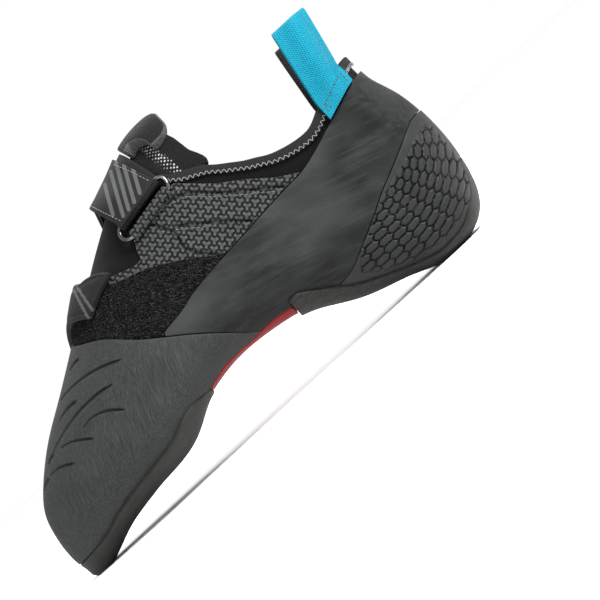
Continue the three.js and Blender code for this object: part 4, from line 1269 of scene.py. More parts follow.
def pile_tree():
    """Sets short leaning hairs on a face."""
    tree, entry, leave, identifiers = new_tree("pile", {
        "Density": "Float", "Length": "Float", "Radius": "Float", "Comb": "Vector", "Ruffle": "Float",
        "Seed": "Int", "Hair": "Material",
    })
    node = tree.nodes.new
    scatter = node("GeometryNodeDistributePointsOnFaces")
    hair = node("GeometryNodeMeshCone")
    hair.inputs["Vertices"].default_value = 3
    hair.inputs["Side Segments"].default_value = 1
    hair.inputs["Radius Top"].default_value = 0.0
    wild = node("FunctionNodeRandomValue")
    wild.data_type = "FLOAT_VECTOR"
    wild.inputs[0].default_value = (-1, -1, -1)
    wild.inputs[1].default_value = (1, 1, 1)
    ruffled = node("ShaderNodeVectorMath")
    ruffled.operation = "SCALE"
    combed = node("ShaderNodeVectorMath")
    leaning = node("ShaderNodeVectorMath")
    aim = node("FunctionNodeAlignEulerToVector")
    aim.axis = "Z"
    size = node("FunctionNodeRandomValue")
    size.inputs[2].default_value = 0.6
    size.inputs[3].default_value = 1.25
    plant = node("GeometryNodeInstanceOnPoints")
    real = node("GeometryNodeRealizeInstances")
    finish = node("GeometryNodeSetMaterial")
    wire(tree, [
        (entry, "Geometry", scatter, "Mesh"), (entry, "Density", scatter, "Density"),
        (entry, "Seed", scatter, "Seed"), (entry, "Seed", wild, "Seed"),
        (entry, "Radius", hair, "Radius Bottom"), (entry, "Length", hair, "Depth"),
        (wild, 0, ruffled, 0), (entry, "Ruffle", ruffled, "Scale"),
        (ruffled, 0, combed, 0), (entry, "Comb", combed, 1),
        (combed, 0, leaning, 0), (scatter, "Normal", leaning, 1), (leaning, 0, aim, "Vector"),
        (scatter, "Points", plant, "Points"), (hair, "Mesh", plant, "Instance"),
        (aim, "Rotation", plant, "Rotation"), (size, 1, plant, "Scale"),
        (plant, "Instances", real, "Geometry"), (real, "Geometry", finish, "Geometry"),
        (entry, "Hair", finish, "Material"), (finish, "Geometry", leave, "Geometry"),
    ])
    return tree, identifiers


def grown_from(name, source, tree, identifiers, values):
    """Runs a tree on an object and keeps what it makes as a plain mesh."""
    modifier = source.modifiers.new("grow", "NODES")
    modifier.node_group = tree
    for key, value in values.items():
        modifier[identifiers[key]] = value
    depsgraph = bpy.context.evaluated_depsgraph_get()
    mesh = bpy.data.meshes.new_from_object(source.evaluated_get(depsgraph), depsgraph=depsgraph)
    source.modifiers.remove(modifier)
    mesh.name = name
    mesh.polygons.foreach_set("use_smooth", np.ones(len(mesh.polygons), bool))
    piece = bpy.data.objects.new(name, mesh)
    bpy.context.scene.collection.objects.link(piece)
    return piece


# Threads, stitches and marks

def threads(name, runs, radius, material):
    """Threads along runs of points, in millimetres."""
    points, edges = [], []
    for run in runs:
        start = len(points)
        points.extend(on_row(run).tolist())
        edges.extend((start + index, start + index + 1) for index in range(len(run) - 1))
    mesh = bpy.data.meshes.new(name + "_lines")
    mesh.from_pydata(points, edges, [])
    source = bpy.data.objects.new(name + "_lines", mesh)
    bpy.context.scene.collection.objects.link(source)
    tree, identifiers = thread_tree()
    piece = grown_from(name, source, tree, identifiers, {"Radius": radius * MM, "Thread": material})
    bpy.data.objects.remove(source)
    return piece


def running_stitch(points, normals, length, gap, lift):
    """Separate stitches along a line on a surface, each a low arc."""
    travel = travelled(points)
    runs = []
    for start in np.arange(0, travel[-1] - length, length + gap):
        share = np.linspace(0, 1, 5)
        along = start + share * length
        height = (lift + STITCH_SINK) * np.sin(share * np.pi) ** 0.6 - STITCH_SINK
        runs.append(looked_up(along, travel, points) + looked_up(along, travel, normals) * height[:, None])
    return runs


def zigzag(points, normals, pitch, half, lift, sink):
    """Separate slanting stitches to and fro along a line on a surface."""
    travel = travelled(points)
    beside = np.cross(normals, np.gradient(points, axis=0))
    beside /= np.linalg.norm(beside, axis=1, keepdims=True)
    corners = []
    for index in range(int(travel[-1] / pitch) + 1):
        place, out, side = (looked_up(index * pitch, travel, table) for table in (points, normals, beside))
        corners.append((place + side * half * (1 if index % 2 else -1), out))
    share = np.linspace(0, 1, 4)[:, None]
    height = (lift + sink) * np.sin(share * np.pi) ** 0.5 - sink
    pairs = zip(corners[:-1], corners[1:])
    return [lerp(start, end, share) + out * height for (start, out), (end, _) in pairs]


def add_marks(piece, **measures):
    """A mark for each corner of a piece, worked out from its place in side view."""
    mesh = piece.data
    places = np.zeros(len(mesh.vertices) * 3, np.float32)
    mesh.vertices.foreach_get("co", places)
    places = places.reshape(-1, 3) / MM + CENTRE
    for name, measure in measures.items():
        layer = mesh.attributes.new(name, "FLOAT", "POINT")
        layer.data.foreach_set("value", measure(places[:, 0], places[:, 2], places[:, 1]).astype(np.float32))


def mark_cells(piece, field):
    """Gives a piece what the cells' lines, with their painted shade and painted highlight, are drawn from.
    """
    add_marks(
        piece, cells=field, cell_along=lambda x, z, y: cell_place(x, z)[0],
        cell_across=lambda x, z, y: cell_place(x, z)[1],
    )


def mark_knobs(piece):
    """Gives a piece what the painted shade of the knobs' grooves and seams and the painted highlight of
    their tips are drawn from.
    """
    add_marks(
        # The grooves between the knobs and the seams' troughs, which the finish darkens as painted shade
        piece, groove=lambda x, z, y: np.clip(knob_groove(x, z) + 0.75 * seam_profile(x, z)[0], 0, 1),
        # The lobe tips, which the finish lightens as a painted highlight
        tip=lambda x, z, y: knob_tip(x, z),
    )


# The upper, tongue and footbed

def make_upper(spacing, material):
    below = [(-FAR, -FAR), (FAR, -FAR), (FAR, RIM[-1][1])]
    outline = below + eased(RIM)[::-1] + [(-FAR, RIM[0][1])]
    return panel("upper_sock", spacing, outline, 0.0, UPPER_WALL, material, hug=0.5)


def make_insole(spacing, material):
    keel = [(row[0], row[1] + INSOLE_RISE) for row in ROWS[INSOLE_ROWS]]
    return panel("footbed", spacing, under(eased(keel)), -GAP - INSOLE_THICK, INSOLE_THICK, material)


def make_tongue(spacing, material):
    outline = eased(TONGUE_OUTLINE, 1.5, closed=True, tension=0.25)
    piece = panel("tongue_mesh", spacing, outline, -GAP - TONGUE_THICK, TONGUE_THICK, material)

    def dotted(x, z, y):
        away = line_distance(x, z, DOTTED_LINE)[0]
        return np.where(x < np.interp(z, *DOTTED_FRONT), 1 - smoothstep(away, 1.5, 5.5), 0.0)

    add_marks(piece, print=dotted)
    return piece


def make_tab(spacing, material):
    def fold(point, normal):
        share = np.clip((point[:, 0] - TAB_FOLD[0]) / (TAB_FOLD[1] - TAB_FOLD[0]), 0, 0.98)
        return TAB_THICK * np.sqrt(1 - share ** 2)

    outline = eased(TAB_OUTLINE, 1.0, closed=True, tension=0.25)
    return panel("tongue_tab_ribbon", spacing, outline, 0.0, fold, material)


def make_binding(spacing, material):
    top = between(eased(RIM), BINDING_START, FAR)
    outline = top + moved(top, 0, -BINDING_WIDTH)[::-1]
    return panel("collar_binding_tape", spacing, outline, OVER_UPPER, BINDING_THICK, material)


# The soles and rubbers

def sole_depth(edge, full, rear):
    """A sole's thickness: full under the foot, thinner behind, and down to its edge's up the sides."""
    def depth(point, normal):
        middle = lerp(full, rear, smoothstep(point[:, 0], *SOLE_THINNING))
        return lerp(edge, middle, smoothstep(-normal[:, 2], *SOLE_WRAP))

    return depth


def make_outsole(spacing, material):
    depth = sole_depth(TOE_RUBBER_THICK, OUTSOLE_THICK, OUTSOLE_REAR)
    return panel("front_sole", spacing, under(eased(SOLE_EDGE)), OVER_UPPER, depth, material, has_floor=True)


def make_heel_sole(spacing, material):
    depth = sole_depth(HEEL_CUP_THICK, HEEL_SOLE_THICK, HEEL_SOLE_THICK)
    outline = under(eased(HEEL_SOLE_EDGE))
    piece = panel("heel_sole_rubber", spacing, outline, OVER_UPPER, depth, material, has_floor=True)
    mark_cells(piece, lambda x, z, y: 1 - smoothstep(x, *HEEL_SOLE_CELLS))
    return piece


def make_plate(spacing, material):
    return panel("arch_plate_red", spacing, under(eased(PLATE_EDGE)), OVER_UPPER, PLATE_THICK, material)


def make_toe_rubber(spacing, material):
    plate = between(moved(eased(PLATE_EDGE), 0, GAP), -FAR, TOE_RUBBER_EDGE[-1][0])
    top = eased(TOE_RUBBER_EDGE)[::-1]
    outline = moved(eased(SOLE_EDGE), 0, GAP) + plate + top + [(-FAR, FAR), (-FAR, SOLE_EDGE[0][1])]

    def relief(place, edge):
        return -CUT_DEPTH * cut_depth(place[:, 0], place[:, 2]) * smoothstep(edge, 0.3, 1.5)

    def side_of(line):
        return lambda x, z, y: side_of_line(x, z, line)

    levels = [(side_of(eased(line, 2.0)), 0.0) for line in CUTS]
    levels += [(lambda x, z, y: cut_distance(x, z, CUTS), level) for level in CUT_LINES]
    piece = panel(
        "toe_rubber_cap", spacing, outline, OVER_UPPER, TOE_RUBBER_THICK, material, relief=relief,
        levels=levels,
    )
    # The cuts' depth, which the finish darkens as painted shade
    add_marks(piece, groove=lambda x, z, y: cut_depth(x, z))
    return piece


def make_rand(spacing, material):
    front = between(moved(eased(TOE_RUBBER_EDGE), GAP, GAP), RAND_EDGE[0][0], FAR)
    plate = between(moved(eased(PLATE_EDGE), 0, GAP), front[-1][0], FAR)
    heel = between(moved(eased(HEEL_SOLE_EDGE), 0, GAP), -FAR, HEEL_CUP_EDGE[0][0])
    outline = front + plate + heel + moved(eased(HEEL_CUP_EDGE), 0, GAP) + eased(RAND_EDGE)[::-1]
    return panel("side_rand_rubber", spacing, outline, OVER_UPPER, RAND_THICK, material)


def make_heel_cup(spacing, material):
    lower = between(moved(eased(HEEL_SOLE_EDGE), 0, GAP), HEEL_CUP_EDGE[0][0], FAR)
    outline = lower + eased(HEEL_CUP_EDGE)[::-1]

    def border(x, z, y):
        return np.where(x > CELLS_START, cell_border(x, z), 1.0)

    def relief(place, edge):
        return -CELL_DEPTH * cell_depth(place[:, 0], place[:, 2], place[:, 1]) * smoothstep(edge, 0.2, 1.0)

    piece = panel(
        "heel_cup_rubber", spacing, outline, OVER_UPPER, HEEL_CUP_THICK, material, relief=relief,
        levels=[(border, 0.1), (border, CELL_LINE)],
    )
    mark_cells(piece, cell_field)
    return piece


# The quarters and the loop patch

def quarter_relief(place, edge):
    x, z = place[:, 0], place[:, 2]
    knobs = (KNOB_RISE * knob_tip(x, z) - KNOB_DEPTH * knob_groove(x, z)) * smoothstep(edge, 0.1, 0.7)
    trough, puff = seam_profile(x, z)
    return knobs + (PUFF_HEIGHT * puff - SEAM_DEPTH * trough) * smoothstep(edge, 0.2, 1.2)


def make_quarter(name, spacing, outline, material, **limits):
    low, thick = OVER_UPPER, QUARTER_THICK
    piece = panel(name, spacing, outline, low, thick, material, relief=quarter_relief, **limits)
    mark_knobs(piece)
    return piece


def make_outer_quarter(spacing, material):
    lower = between(moved(eased(RAND_EDGE), 0, GAP), PATCH_EDGE[-1][0], QUARTER_REAR[-1][0])
    front = between(moved(eased(PATCH_EDGE), GAP, GAP), QUARTER_TOP[0][0], FAR)
    outline = eased(QUARTER_TOP) + eased(QUARTER_REAR) + lower[::-1] + front[::-1]
    return make_quarter("outer_quarter_cloth", spacing, outline, material, high_y=OUTER_QUARTER_STOP)


def make_inner_quarter(spacing, material):
    top = eased(INNER_QUARTER)
    lower = between(moved(eased(RAND_EDGE), 0, GAP), top[0][0], top[-1][0])
    outline = top + lower[::-1]
    return make_quarter("inner_quarter_cloth", spacing, outline, material, low_y=INNER_QUARTER_START)


def bar_points(bar, steps):
    (from_x, from_z), (to_x, to_z) = bar
    share = np.linspace(0, 1, steps)
    return side_points(lerp(from_x, to_x, share), lerp(from_z, to_z, share), -1, RING_HEIGHT)


def make_hem(material):
    """The roll of the quarter round the ring's lower bar."""
    path, _ = bar_points(RING_LOWER_BAR, 90)
    radius = RING_WIRE / 2 + GAP + QUARTER_THICK
    end = np.linspace(0, 1, len(path))
    rounded = np.sqrt(np.clip(1 - np.maximum(0, 1 - np.minimum(end, 1 - end) / 0.03) ** 2, 0, 1))
    points, faces = tube(path, radius * (0.72 + 0.28 * rounded), HEM_SIDES)
    centre = np.repeat(path, HEM_SIDES, 0)
    out = (points - centre) / np.linalg.norm(points - centre, axis=1, keepdims=True)
    points = points - out * (KNOB_DEPTH * knob_groove(points[:, 0], points[:, 2]))[:, None]
    piece = make_object("quarter_hem", points, faces, material, {"edge": np.full(len(points), 5.0)})
    mark_knobs(piece)
    return piece


def make_loop_patch(spacing, material):
    front = between(moved(eased(TOE_RUBBER_EDGE), GAP, GAP), -FAR, RAND_EDGE[0][0])
    lower = between(moved(eased(RAND_EDGE), 0, GAP), -FAR, PATCH_EDGE[-1][0])
    outline = front + lower + eased(PATCH_EDGE)[::-1]
    waves = np.random.default_rng(SEED).uniform(-1, 1, (6, 3))

    def relief(place, edge):
        tufts = sum(np.sin(place @ (wave * TUFT_SWING) + index) for index, wave in enumerate(waves))
        return TUFT_HEIGHT * (tufts / len(waves)) * smoothstep(edge, 0.2, 1.0)

    return panel(
        "loop_patch_base", spacing, outline, OVER_UPPER, PATCH_THICK, material, relief=relief,
        high_y=PATCH_STOP,
    )


def make_pile(patch, density, material):
    tree, identifiers = pile_tree()
    values = {
        "Density": density / MM ** 2, "Length": HAIR_LENGTH * MM, "Radius": HAIR_RADIUS * MM,
        "Comb": HAIR_COMB, "Ruffle": HAIR_RUFFLE, "Seed": SEED, "Hair": material,
    }
    return grown_from("loop_patch_pile", patch, tree, identifiers, values)


# The straps and their ring

def strap_low(point, normal):
    """How far out from the last the strap's lower layer lies: high at the ring, close on the inner side."""
    lift = lerp(STRAP_LIFT, STRAP_BASE_LIFT, smoothstep(point[..., 0], *STRAP_LIFT_SPAN))
    on_inner = smoothstep(point[..., 1], *STRAP_INNER_SPAN)
    seat = lerp(RING_HEIGHT - FOLD_RADIUS, OVER_UPPER + QUARTER_THICK + GAP, on_inner)
    return seat + lift * smoothstep(point[..., 2], *STRAP_RISE_SPAN)


def strap_high(point, normal):
    """How far out the strap's upper layer lies, which opens towards the ring."""
    is_open = np.where(point[..., 1] > 0, 0.0, 1 - smoothstep(point[..., 2], *STRAP_OPEN_SPAN))
    return strap_low(point, normal) + STRAP_THICK + lerp(GAP, 2 * (FOLD_RADIUS - STRAP_THICK), is_open)


def make_strap_layers(spacing, material):
    def bars(x, z, y):
        return np.where(y < PRINT_STOP, cut_distance(x, z, PRINT_BARS), 5.0)

    outlines = (STRAP_OUTER, STRAP_INNER)
    levels = [(bars, PRINT_HALF)]
    top = panel("instep_strap_top", spacing, outlines, strap_high, STRAP_THICK, material, levels=levels)
    add_marks(top, print=lambda x, z, y: 1 - smoothstep(bars(x, z, y), 0.6, 1.1))
    outlines = (UNDER_STRAP_OUTER, UNDER_STRAP_INNER)
    below = panel("instep_strap_under", spacing * 1.5, outlines, strap_low, STRAP_THICK, material)
    return top, below


def make_strap_fold(material):
    """The turn of the strap round the ring's upper bar."""
    path, normal = bar_points(RING_UPPER_BAR, 48)
    tangent = np.gradient(path, axis=0)
    tangent /= np.linalg.norm(tangent, axis=1, keepdims=True)
    down = np.cross(tangent, normal)
    down /= np.linalg.norm(down, axis=1, keepdims=True)
    down *= np.where(down[:, 2:] > 0, -1, 1)
    angles = np.radians(np.linspace(-100, 100, 22))
    arc = down[:, None] * np.cos(angles)[None, :, None] + normal[:, None] * np.sin(angles)[None, :, None]
    outer = path[:, None] + arc * FOLD_RADIUS
    inner = (path[:, None] + arc * (FOLD_RADIUS - STRAP_THICK))[:, ::-1]
    loop = np.concatenate([outer, inner], 1)
    count, sides = loop.shape[:2]
    faces = []
    for i in range(count - 1):
        for j in range(sides):
            k = (j + 1) % sides
            faces.append((i * sides + j, i * sides + k, (i + 1) * sides + k, (i + 1) * sides + j))
    for j in range(sides // 2 - 1):
        cap = (j, sides - 1 - j, sides - 2 - j, j + 1)
        faces.append(cap)
        faces.append(tuple(corner + (count - 1) * sides for corner in cap[::-1]))
    points = loop.reshape(-1, 3)
    piece = make_object("instep_strap_fold", points, faces, material, {"print": np.zeros(len(points))})
    face_outwards(piece)
    return piece


def face_outwards(piece):
    shape = bmesh.new()
    shape.from_mesh(piece.data)
    bmesh.ops.recalc_face_normals(shape, faces=shape.faces)
    shape.to_mesh(piece.data)
    shape.free()


def make_forefoot_strap(spacing, material):
    def low(point, normal):
        lift = FOREFOOT_STRAP_LIFT * smoothstep(point[..., 1], -22, 0)
        return OVER_UPPER + TOE_RUBBER_THICK + GAP + lift

    def relief(place, edge):
        seam = np.exp(-(((edge - PAD_SEAM_INSET) / PAD_SEAM_WIDTH) ** 2))
        return PAD_SWELL * smoothstep(edge, 0.8, 5.0) - PAD_SWELL * seam

    def striped(x, z, y):
        lines = np.minimum(*(line_distance(x, z, line)[0] for line in TAB_STRIPES))
        return (1 - smoothstep(lines, 0.45, 0.85)) * (y < 0)

    outline = eased(FOREFOOT_STRAP, 1.0, closed=True, tension=0.12)
    piece = panel(
        "forefoot_strap_pad", spacing, outline, low, FOREFOOT_STRAP_THICK, material, relief=relief,
        plan=True,
    )
    add_marks(piece, print=striped)
    return piece


def make_ring(material):
    def inner_knots(bar):
        return [tuple(lerp(np.array(bar[0]), np.array(bar[1]), part)) for part in (0.33, 0.67)]

    knots = [
        RING_ENDS[0], RING_LOWER_BAR[0], *inner_knots(RING_LOWER_BAR), RING_LOWER_BAR[1], RING_ENDS[1],
        RING_UPPER_BAR[1], *inner_knots(RING_UPPER_BAR)[::-1], RING_UPPER_BAR[0],
    ]
    route = side_points(*zip(*knots), -1, RING_HEIGHT)[0]
    points, faces = tube(smooth_line(route, 1.0, closed=True, tension=0.6), RING_WIRE / 2, 16, closed=True)
    return make_object("strap_ring", points, faces, material)


# The pull loops

def height_at(line, x):
    return np.interp(x, *zip(*line))


def loop_grid(side, front, rear, inside, fold, lean):
    """A pull loop's middle surface: rows run up its outer leg, over its fold and down its inner leg."""
    outer_leg = OVER_UPPER + BINDING_THICK + LEG_GAP + WEBBING_THICK / 2
    inner_leg = -LEG_GAP - WEBBING_THICK / 2
    middle, base_half = (outer_leg + inner_leg) / 2, (outer_leg - inner_leg) / 2
    bulge = (PULL_LOOP_SPREAD + WEBBING_THICK) / 2 - base_half
    fold_top = fold - WEBBING_THICK / 2
    fold_centre = fold_top - base_half
    shares = np.concatenate([[0, 0.012, 0.03, 0.06], np.linspace(0.1, 0.9, 13), [0.94, 0.97, 0.988, 1]])
    x = lerp(front, rear, shares)
    base = height_at(RIM, x) + PULL_LOOP_FOOT
    tail = height_at(RAND_EDGE, x) + 2 * GAP
    wall = side_points(x, base, side, 0.0)[0]
    centre_x = lerp(front, rear, 0.5)
    centre_base = height_at(RIM, centre_x) + PULL_LOOP_FOOT
    near, far = (side_points(centre_x, centre_base, side, distance)[0] for distance in (0.0, 1.0))
    out = far - near
    out[:, 2] = 0
    out /= np.linalg.norm(out)

    def leg(share, start, distance):
        return side_points(x, lerp(start, base, share), side, distance)[0]

    def place(z, half):
        point = wall + out * (middle + half)
        point[:, 0] += lean * (z - base) / (fold_top - base)
        point[:, 2] = z
        return point

    def bowed(turn, sign):
        half = base_half + bulge * math.sin(turn * math.pi)
        return place(lerp(base, fold_centre, turn), sign * half)

    rows = [leg(share, tail, outer_leg) for share in np.linspace(0, 1, 9)[:-1]]
    rows += [bowed(turn, 1) for turn in np.linspace(0.0, 1, 22)]
    for turn in np.linspace(1, 2, 15)[1:-1]:
        height = fold_centre - base_half * math.sin(turn * math.pi)
        rows.append(place(np.full(x.shape, height), -base_half * math.cos(turn * math.pi)))
    rows += [bowed(turn, -1) for turn in np.linspace(1, 0, 22)]
    rows += [leg(share, inside, inner_leg) for share in np.linspace(1, 0, 5)[1:]]
    grid = np.array(rows)
    for _ in range(3):
        grid[1:-1] = 0.25 * grid[:-2] + 0.5 * grid[1:-1] + 0.25 * grid[2:]
    return grid if side < 0 else grid[:, ::-1]


def make_loop(name, shape, material):
    """A tape of even thickness about a loop's middle surface, thinner along its two edges."""
    grid = loop_grid(**shape)
    rows, columns = grid.shape[:2]
    normal = np.cross(np.gradient(grid, axis=1), np.gradient(grid, axis=0))
    normal /= np.linalg.norm(normal, axis=2, keepdims=True)
    width = np.concatenate([[0], np.cumsum(np.linalg.norm(np.diff(grid, axis=1), axis=2).mean(0))])
    travel = np.concatenate([[0], np.cumsum(np.linalg.norm(np.diff(grid, axis=0), axis=2).mean(1))])
    from_edge = np.minimum(width, width[-1] - width)
    near = np.clip(1 - from_edge / (WEBBING_THICK / 2), 0, 1)
    half = WEBBING_THICK / 2 * (0.25 + 0.75 * np.sqrt(1 - near ** 2))
    top = (grid + normal * half[None, :, None]).reshape(-1, 3)
    bottom = (grid - normal * half[None, :, None]).reshape(-1, 3)
    index = np.arange(rows * columns).reshape(rows, columns)
    a, b, c, d = index[:-1, :-1], index[:-1, 1:], index[1:, 1:], index[1:, :-1]
    triangles = np.concatenate([np.stack(corners, -1).reshape(-1, 3) for corners in ([a, b, c], [a, c, d])])
    points, faces = closed_sheet(top, bottom, triangles)
    uv = np.stack(np.meshgrid(width, travel), -1).reshape(-1, 2) * MM
    piece = make_object(name, points, faces, material, None, np.tile(uv, (2, 1)))
    face_outwards(piece)
    return piece


# The stitches

def rim_line(drop, distance):
    """A line a drop below the rim, from the tongue along the outer side, round the heel and back."""
    x = np.arange(*RIM_SIDES, 0.8)
    outer, inner = (side_points(x, height_at(RIM, x) - drop, side, distance) for side in (-1, 1))
    turn = np.concatenate([np.linspace(1.3, 0, 90, endpoint=False), np.linspace(4, 2.7, 90)])
    low, high = np.full(turn.shape, 17.0), np.full(turn.shape, 21.4)
    for _ in range(32):
        at = (low + high) / 2
        point = surface_at(at, turn, distance)[0]
        is_over = point[:, 2] - height_at(RIM, point[:, 0]) + drop > 0
        high = np.where(is_over, at, high)
        low = np.where(is_over, low, at)
    back = surface_at((low + high) / 2, turn, distance)
    is_behind = back[0][:, 0] > RIM_SIDES[1] + 0.3
    return tuple(np.concatenate([outer[i], back[i][is_behind], inner[i][::-1]]) for i in (0, 1))


def make_collar_zigzag(material):
    points, normals = rim_line(ZIGZAG_DROP, OVER_UPPER + BINDING_THICK)
    travel = travelled(points)
    steps = np.arange(0, travel[-1], 0.6)
    out = looked_up(steps, travel, normals)
    out /= np.linalg.norm(out, axis=1, keepdims=True)
    runs = zigzag(looked_up(steps, travel, points), out, pitch=1.25, half=0.8, lift=0.3, sink=0.2)
    return threads("collar_zigzag", runs, THREAD_RADIUS, material)


def make_quarter_stitches(material):
    distance = OVER_UPPER + QUARTER_THICK - 0.1
    runs = running_stitch(*on_side(HEM_SEAM, -1, distance), length=1.6, gap=0.8, lift=0.25)
    for line in QUARTER_SEAMS[1:]:
        inset = moved(line[:-1], *SEAM_INSET)
        runs += running_stitch(*on_side(inset, -1, distance), length=1.5, gap=0.8, lift=0.22)
    return threads("quarter_stitches", runs, THREAD_RADIUS, material)


def make_loop_stitches(name, shape, material):
    """The stitched box that holds a pull loop's outer leg."""
    distance = OVER_UPPER + BINDING_THICK + LEG_GAP + WEBBING_THICK
    shift = shape["front"] - OUTER_LOOP["front"]
    runs = []
    for line in LOOP_BOX:
        laid = on_side(moved(line, shift, 0), shape["side"], distance, spacing=0.5)
        runs += running_stitch(*laid, length=1.5, gap=0.4, lift=0.16)
    return threads(name, runs, THREAD_RADIUS, material)


def make_strap_stitches(material):
    runs = []
    for line in STRAP_SEAMS:
        laid = on_side(line, -1, above(strap_high, STRAP_THICK))
        runs += running_stitch(*laid, length=1.5, gap=0.7, lift=0.2)
    return threads("strap_stitches", runs, FINE_THREAD_RADIUS, material)


# What a user would change

def colour_property(name, description, default):
    return bpy.props.FloatVectorProperty(
        name=name, description=description, default=default, size=3, min=0.0, max=1.0, subtype="COLOR",
    )


class ShoeColours(bpy.types.PropertyGroup):
    """Colours of the fabrics, rubbers and metal."""

    toe_rubber: colour_property("Toe rubber", "Buffed rubber over the toes", (0.0135, 0.0148, 0.0145))
    rand: colour_property("Rand", "Smooth rubber round the foot", (0.0084, 0.0092, 0.009))
    heel_cup: colour_property("Heel cup", "Moulded rubber round the heel", (0.0062, 0.0068, 0.0066))
    sole: colour_property("Sole", "Front sole", (0.0105, 0.0108, 0.0098))
    heel_sole: colour_property("Heel sole", "Strip under the heel", (0.0088, 0.009, 0.0078))
    plate: colour_property("Arch plate", "Moulded plate under the arch", (0.15, 0.002, 0.003))
    quarter: colour_property("Quarters", "Knobbed fabric", (0.0175, 0.0186, 0.0183))
    sock: colour_property("Sock", "Stretch knit of the upper", (0.0022, 0.0022, 0.0024))
    pile: colour_property("Loop patch", "Pile that the strap grips", (0.0045, 0.0045, 0.0048))
    binding: colour_property("Binding", "Tape round the collar", (0.011, 0.011, 0.0112))
    strap: colour_property("Straps", "Strap cloth", (0.0062, 0.0062, 0.0066))
    ink: colour_property("Print", "Print on the straps", (0.048, 0.05, 0.05))
    mesh: colour_property("Tongue", "Spacer mesh of the tongue", (0.006, 0.006, 0.0065))
    tab: colour_property("Tab", "Ribbon on the tongue", (0.003, 0.003, 0.0032))
    footbed: colour_property("Footbed", "Suede under the foot", (0.2, 0.2, 0.19))
    loop_blue: colour_property("Outer pull loop", "Webbing of the outer loop", (0.001, 0.14, 0.205))
    loop_black: colour_property("Inner pull loop", "Webbing of the inner loop", (0.006, 0.006, 0.0065))
    steel: colour_property("Ring", "Wire of the strap's ring", (0.08, 0.081, 0.083))
    pale_thread: colour_property("Pale thread", "Zigzag round the collar", (0.13, 0.13, 0.13))
    grey_thread: colour_property("Grey thread", "Seams of the quarters and straps", (0.1, 0.1, 0.105))


class ShoeSizes(bpy.types.PropertyGroup):
    """How fine the pieces are."""

    fine: bpy.props.FloatProperty(
        name="Fine mesh", description="Spacing of the mesh where the relief is fine", default=0.00037,
        min=0.0003, max=0.002, unit="LENGTH",
    )
    medium: bpy.props.FloatProperty(
        name="Medium mesh", description="Spacing of the mesh on the rubbers", default=0.0009, min=0.0005,
        max=0.004, unit="LENGTH",
    )
    coarse: bpy.props.FloatProperty(
        name="Coarse mesh", description="Spacing of the mesh where little shows", default=0.0018, min=0.001,
        max=0.006, unit="LENGTH",
    )
    pile_density: bpy.props.FloatProperty(
        name="Pile density", description="Hairs on a square millimetre of the loop patch", default=2.4,
        min=0.1, max=6.0,
    )


class StageSettings(bpy.types.PropertyGroup):
    """The camera's place and the light."""

    roll: bpy.props.FloatProperty(
        name="Roll", description="How far the picture is turned against the floor",
        default=math.radians(42.5), subtype="ANGLE",
    )
    elevation: bpy.props.FloatProperty(
        name="Elevation", description="How far the camera looks down", default=math.radians(1.5),
        subtype="ANGLE",
    )
    distance: bpy.props.FloatProperty(
        name="Distance", description="From the camera to the shoe", default=1.6, min=0.5, unit="LENGTH",
    )
    frame_width: bpy.props.FloatProperty(
        name="Frame", description="Width that the picture shows at the shoe", default=0.2624, min=0.05,
        unit="LENGTH",
    )


class SHOE_OT_upper(bpy.types.Operator):
    """Makes the sock, its collar, tongue, tab and footbed"""

    bl_idname = "shoe.upper"
    bl_label = "Upper"

    def execute(self, context):
        colours, sizes = context.scene.shoe_colours, context.scene.shoe_sizes
        medium, coarse = sizes.medium / MM, sizes.coarse / MM
        knit = knit_finish(colours.sock, "black stretch knit", 1.0)
        dress(make_upper(coarse, knit), "stretch_fabric", "upper")
        dress(make_insole(coarse, suede_finish(colours.footbed)), "footbed", "insole")
        dress(make_tongue(medium, mesh_finish(colours.mesh, MESH_DOTS)), "tongue_mesh", "tongue")
        ribbon = webbing_finish(colours.tab, "woven tab ribbon", rim=0.8)
        dress(make_tab(medium * 0.7, ribbon), "tab_ribbon", "tongue_tab")
        binding = knit_finish(colours.binding, "collar tape", 0.7, 30.0)
        dress(make_binding(medium, binding), "binding_fabric", "collar_binding")
        return {"FINISHED"}


class SHOE_OT_rubber(bpy.types.Operator):
    """Makes the soles, the plate and the rubbers round the foot"""

    bl_idname = "shoe.rubber"
    bl_label = "Rubber"

    def execute(self, context):
        colours, sizes = context.scene.shoe_colours, context.scene.shoe_sizes
        medium = sizes.medium / MM
        sole = sole_finish(colours.sole, "front sole rubber")
        dress(make_outsole(medium * 1.4, sole), "sole_rubber", "outsole")
        heel = sole_finish(colours.heel_sole, "heel strip rubber", is_celled=True)
        dress(make_heel_sole(medium * 1.1, heel), "heel_sole_rubber", "heel_sole")
        dress(make_plate(medium, plate_finish(colours.plate)), "plate_red", "arch_plate")
        toe = toe_rubber_finish(colours.toe_rubber)
        dress(make_toe_rubber(medium * 1.4, toe), "toe_rubber", "toe_rubber")
        dress(make_rand(medium * 1.6, rand_finish(colours.rand)), "rand_rubber", "side_rand")
        dress(make_heel_cup(medium * 0.66, cup_finish(colours.heel_cup)), "cup_rubber", "heel_cup")
        return {"FINISHED"}


class SHOE_OT_panels(bpy.types.Operator):
    """Makes the knobbed quarters and the loop patch with its pile"""

    bl_idname = "shoe.panels"
    bl_label = "Panels"

    def execute(self, context):
        colours, sizes = context.scene.shoe_colours, context.scene.shoe_sizes
        cloth = quarter_finish(colours.quarter)
        outer = dress(make_outer_quarter(sizes.fine / MM, cloth), "quarter_fabric", "outer_quarter")
        hem = dress(make_hem(cloth), "quarter_fabric")
        dress(make_inner_quarter(sizes.fine / MM * 1.5, cloth), "quarter_fabric", "inner_quarter")
        patch = make_loop_patch(sizes.medium / MM, pile_finish(colours.pile, "pile ground", 5.0))
        pile = make_pile(patch, sizes.pile_density, pile_finish(colours.pile, "pile hairs", 30.0))
        dress(patch, "loop_pile", "loop_patch")
        dress(pile, "loop_pile")
        return {"FINISHED"}


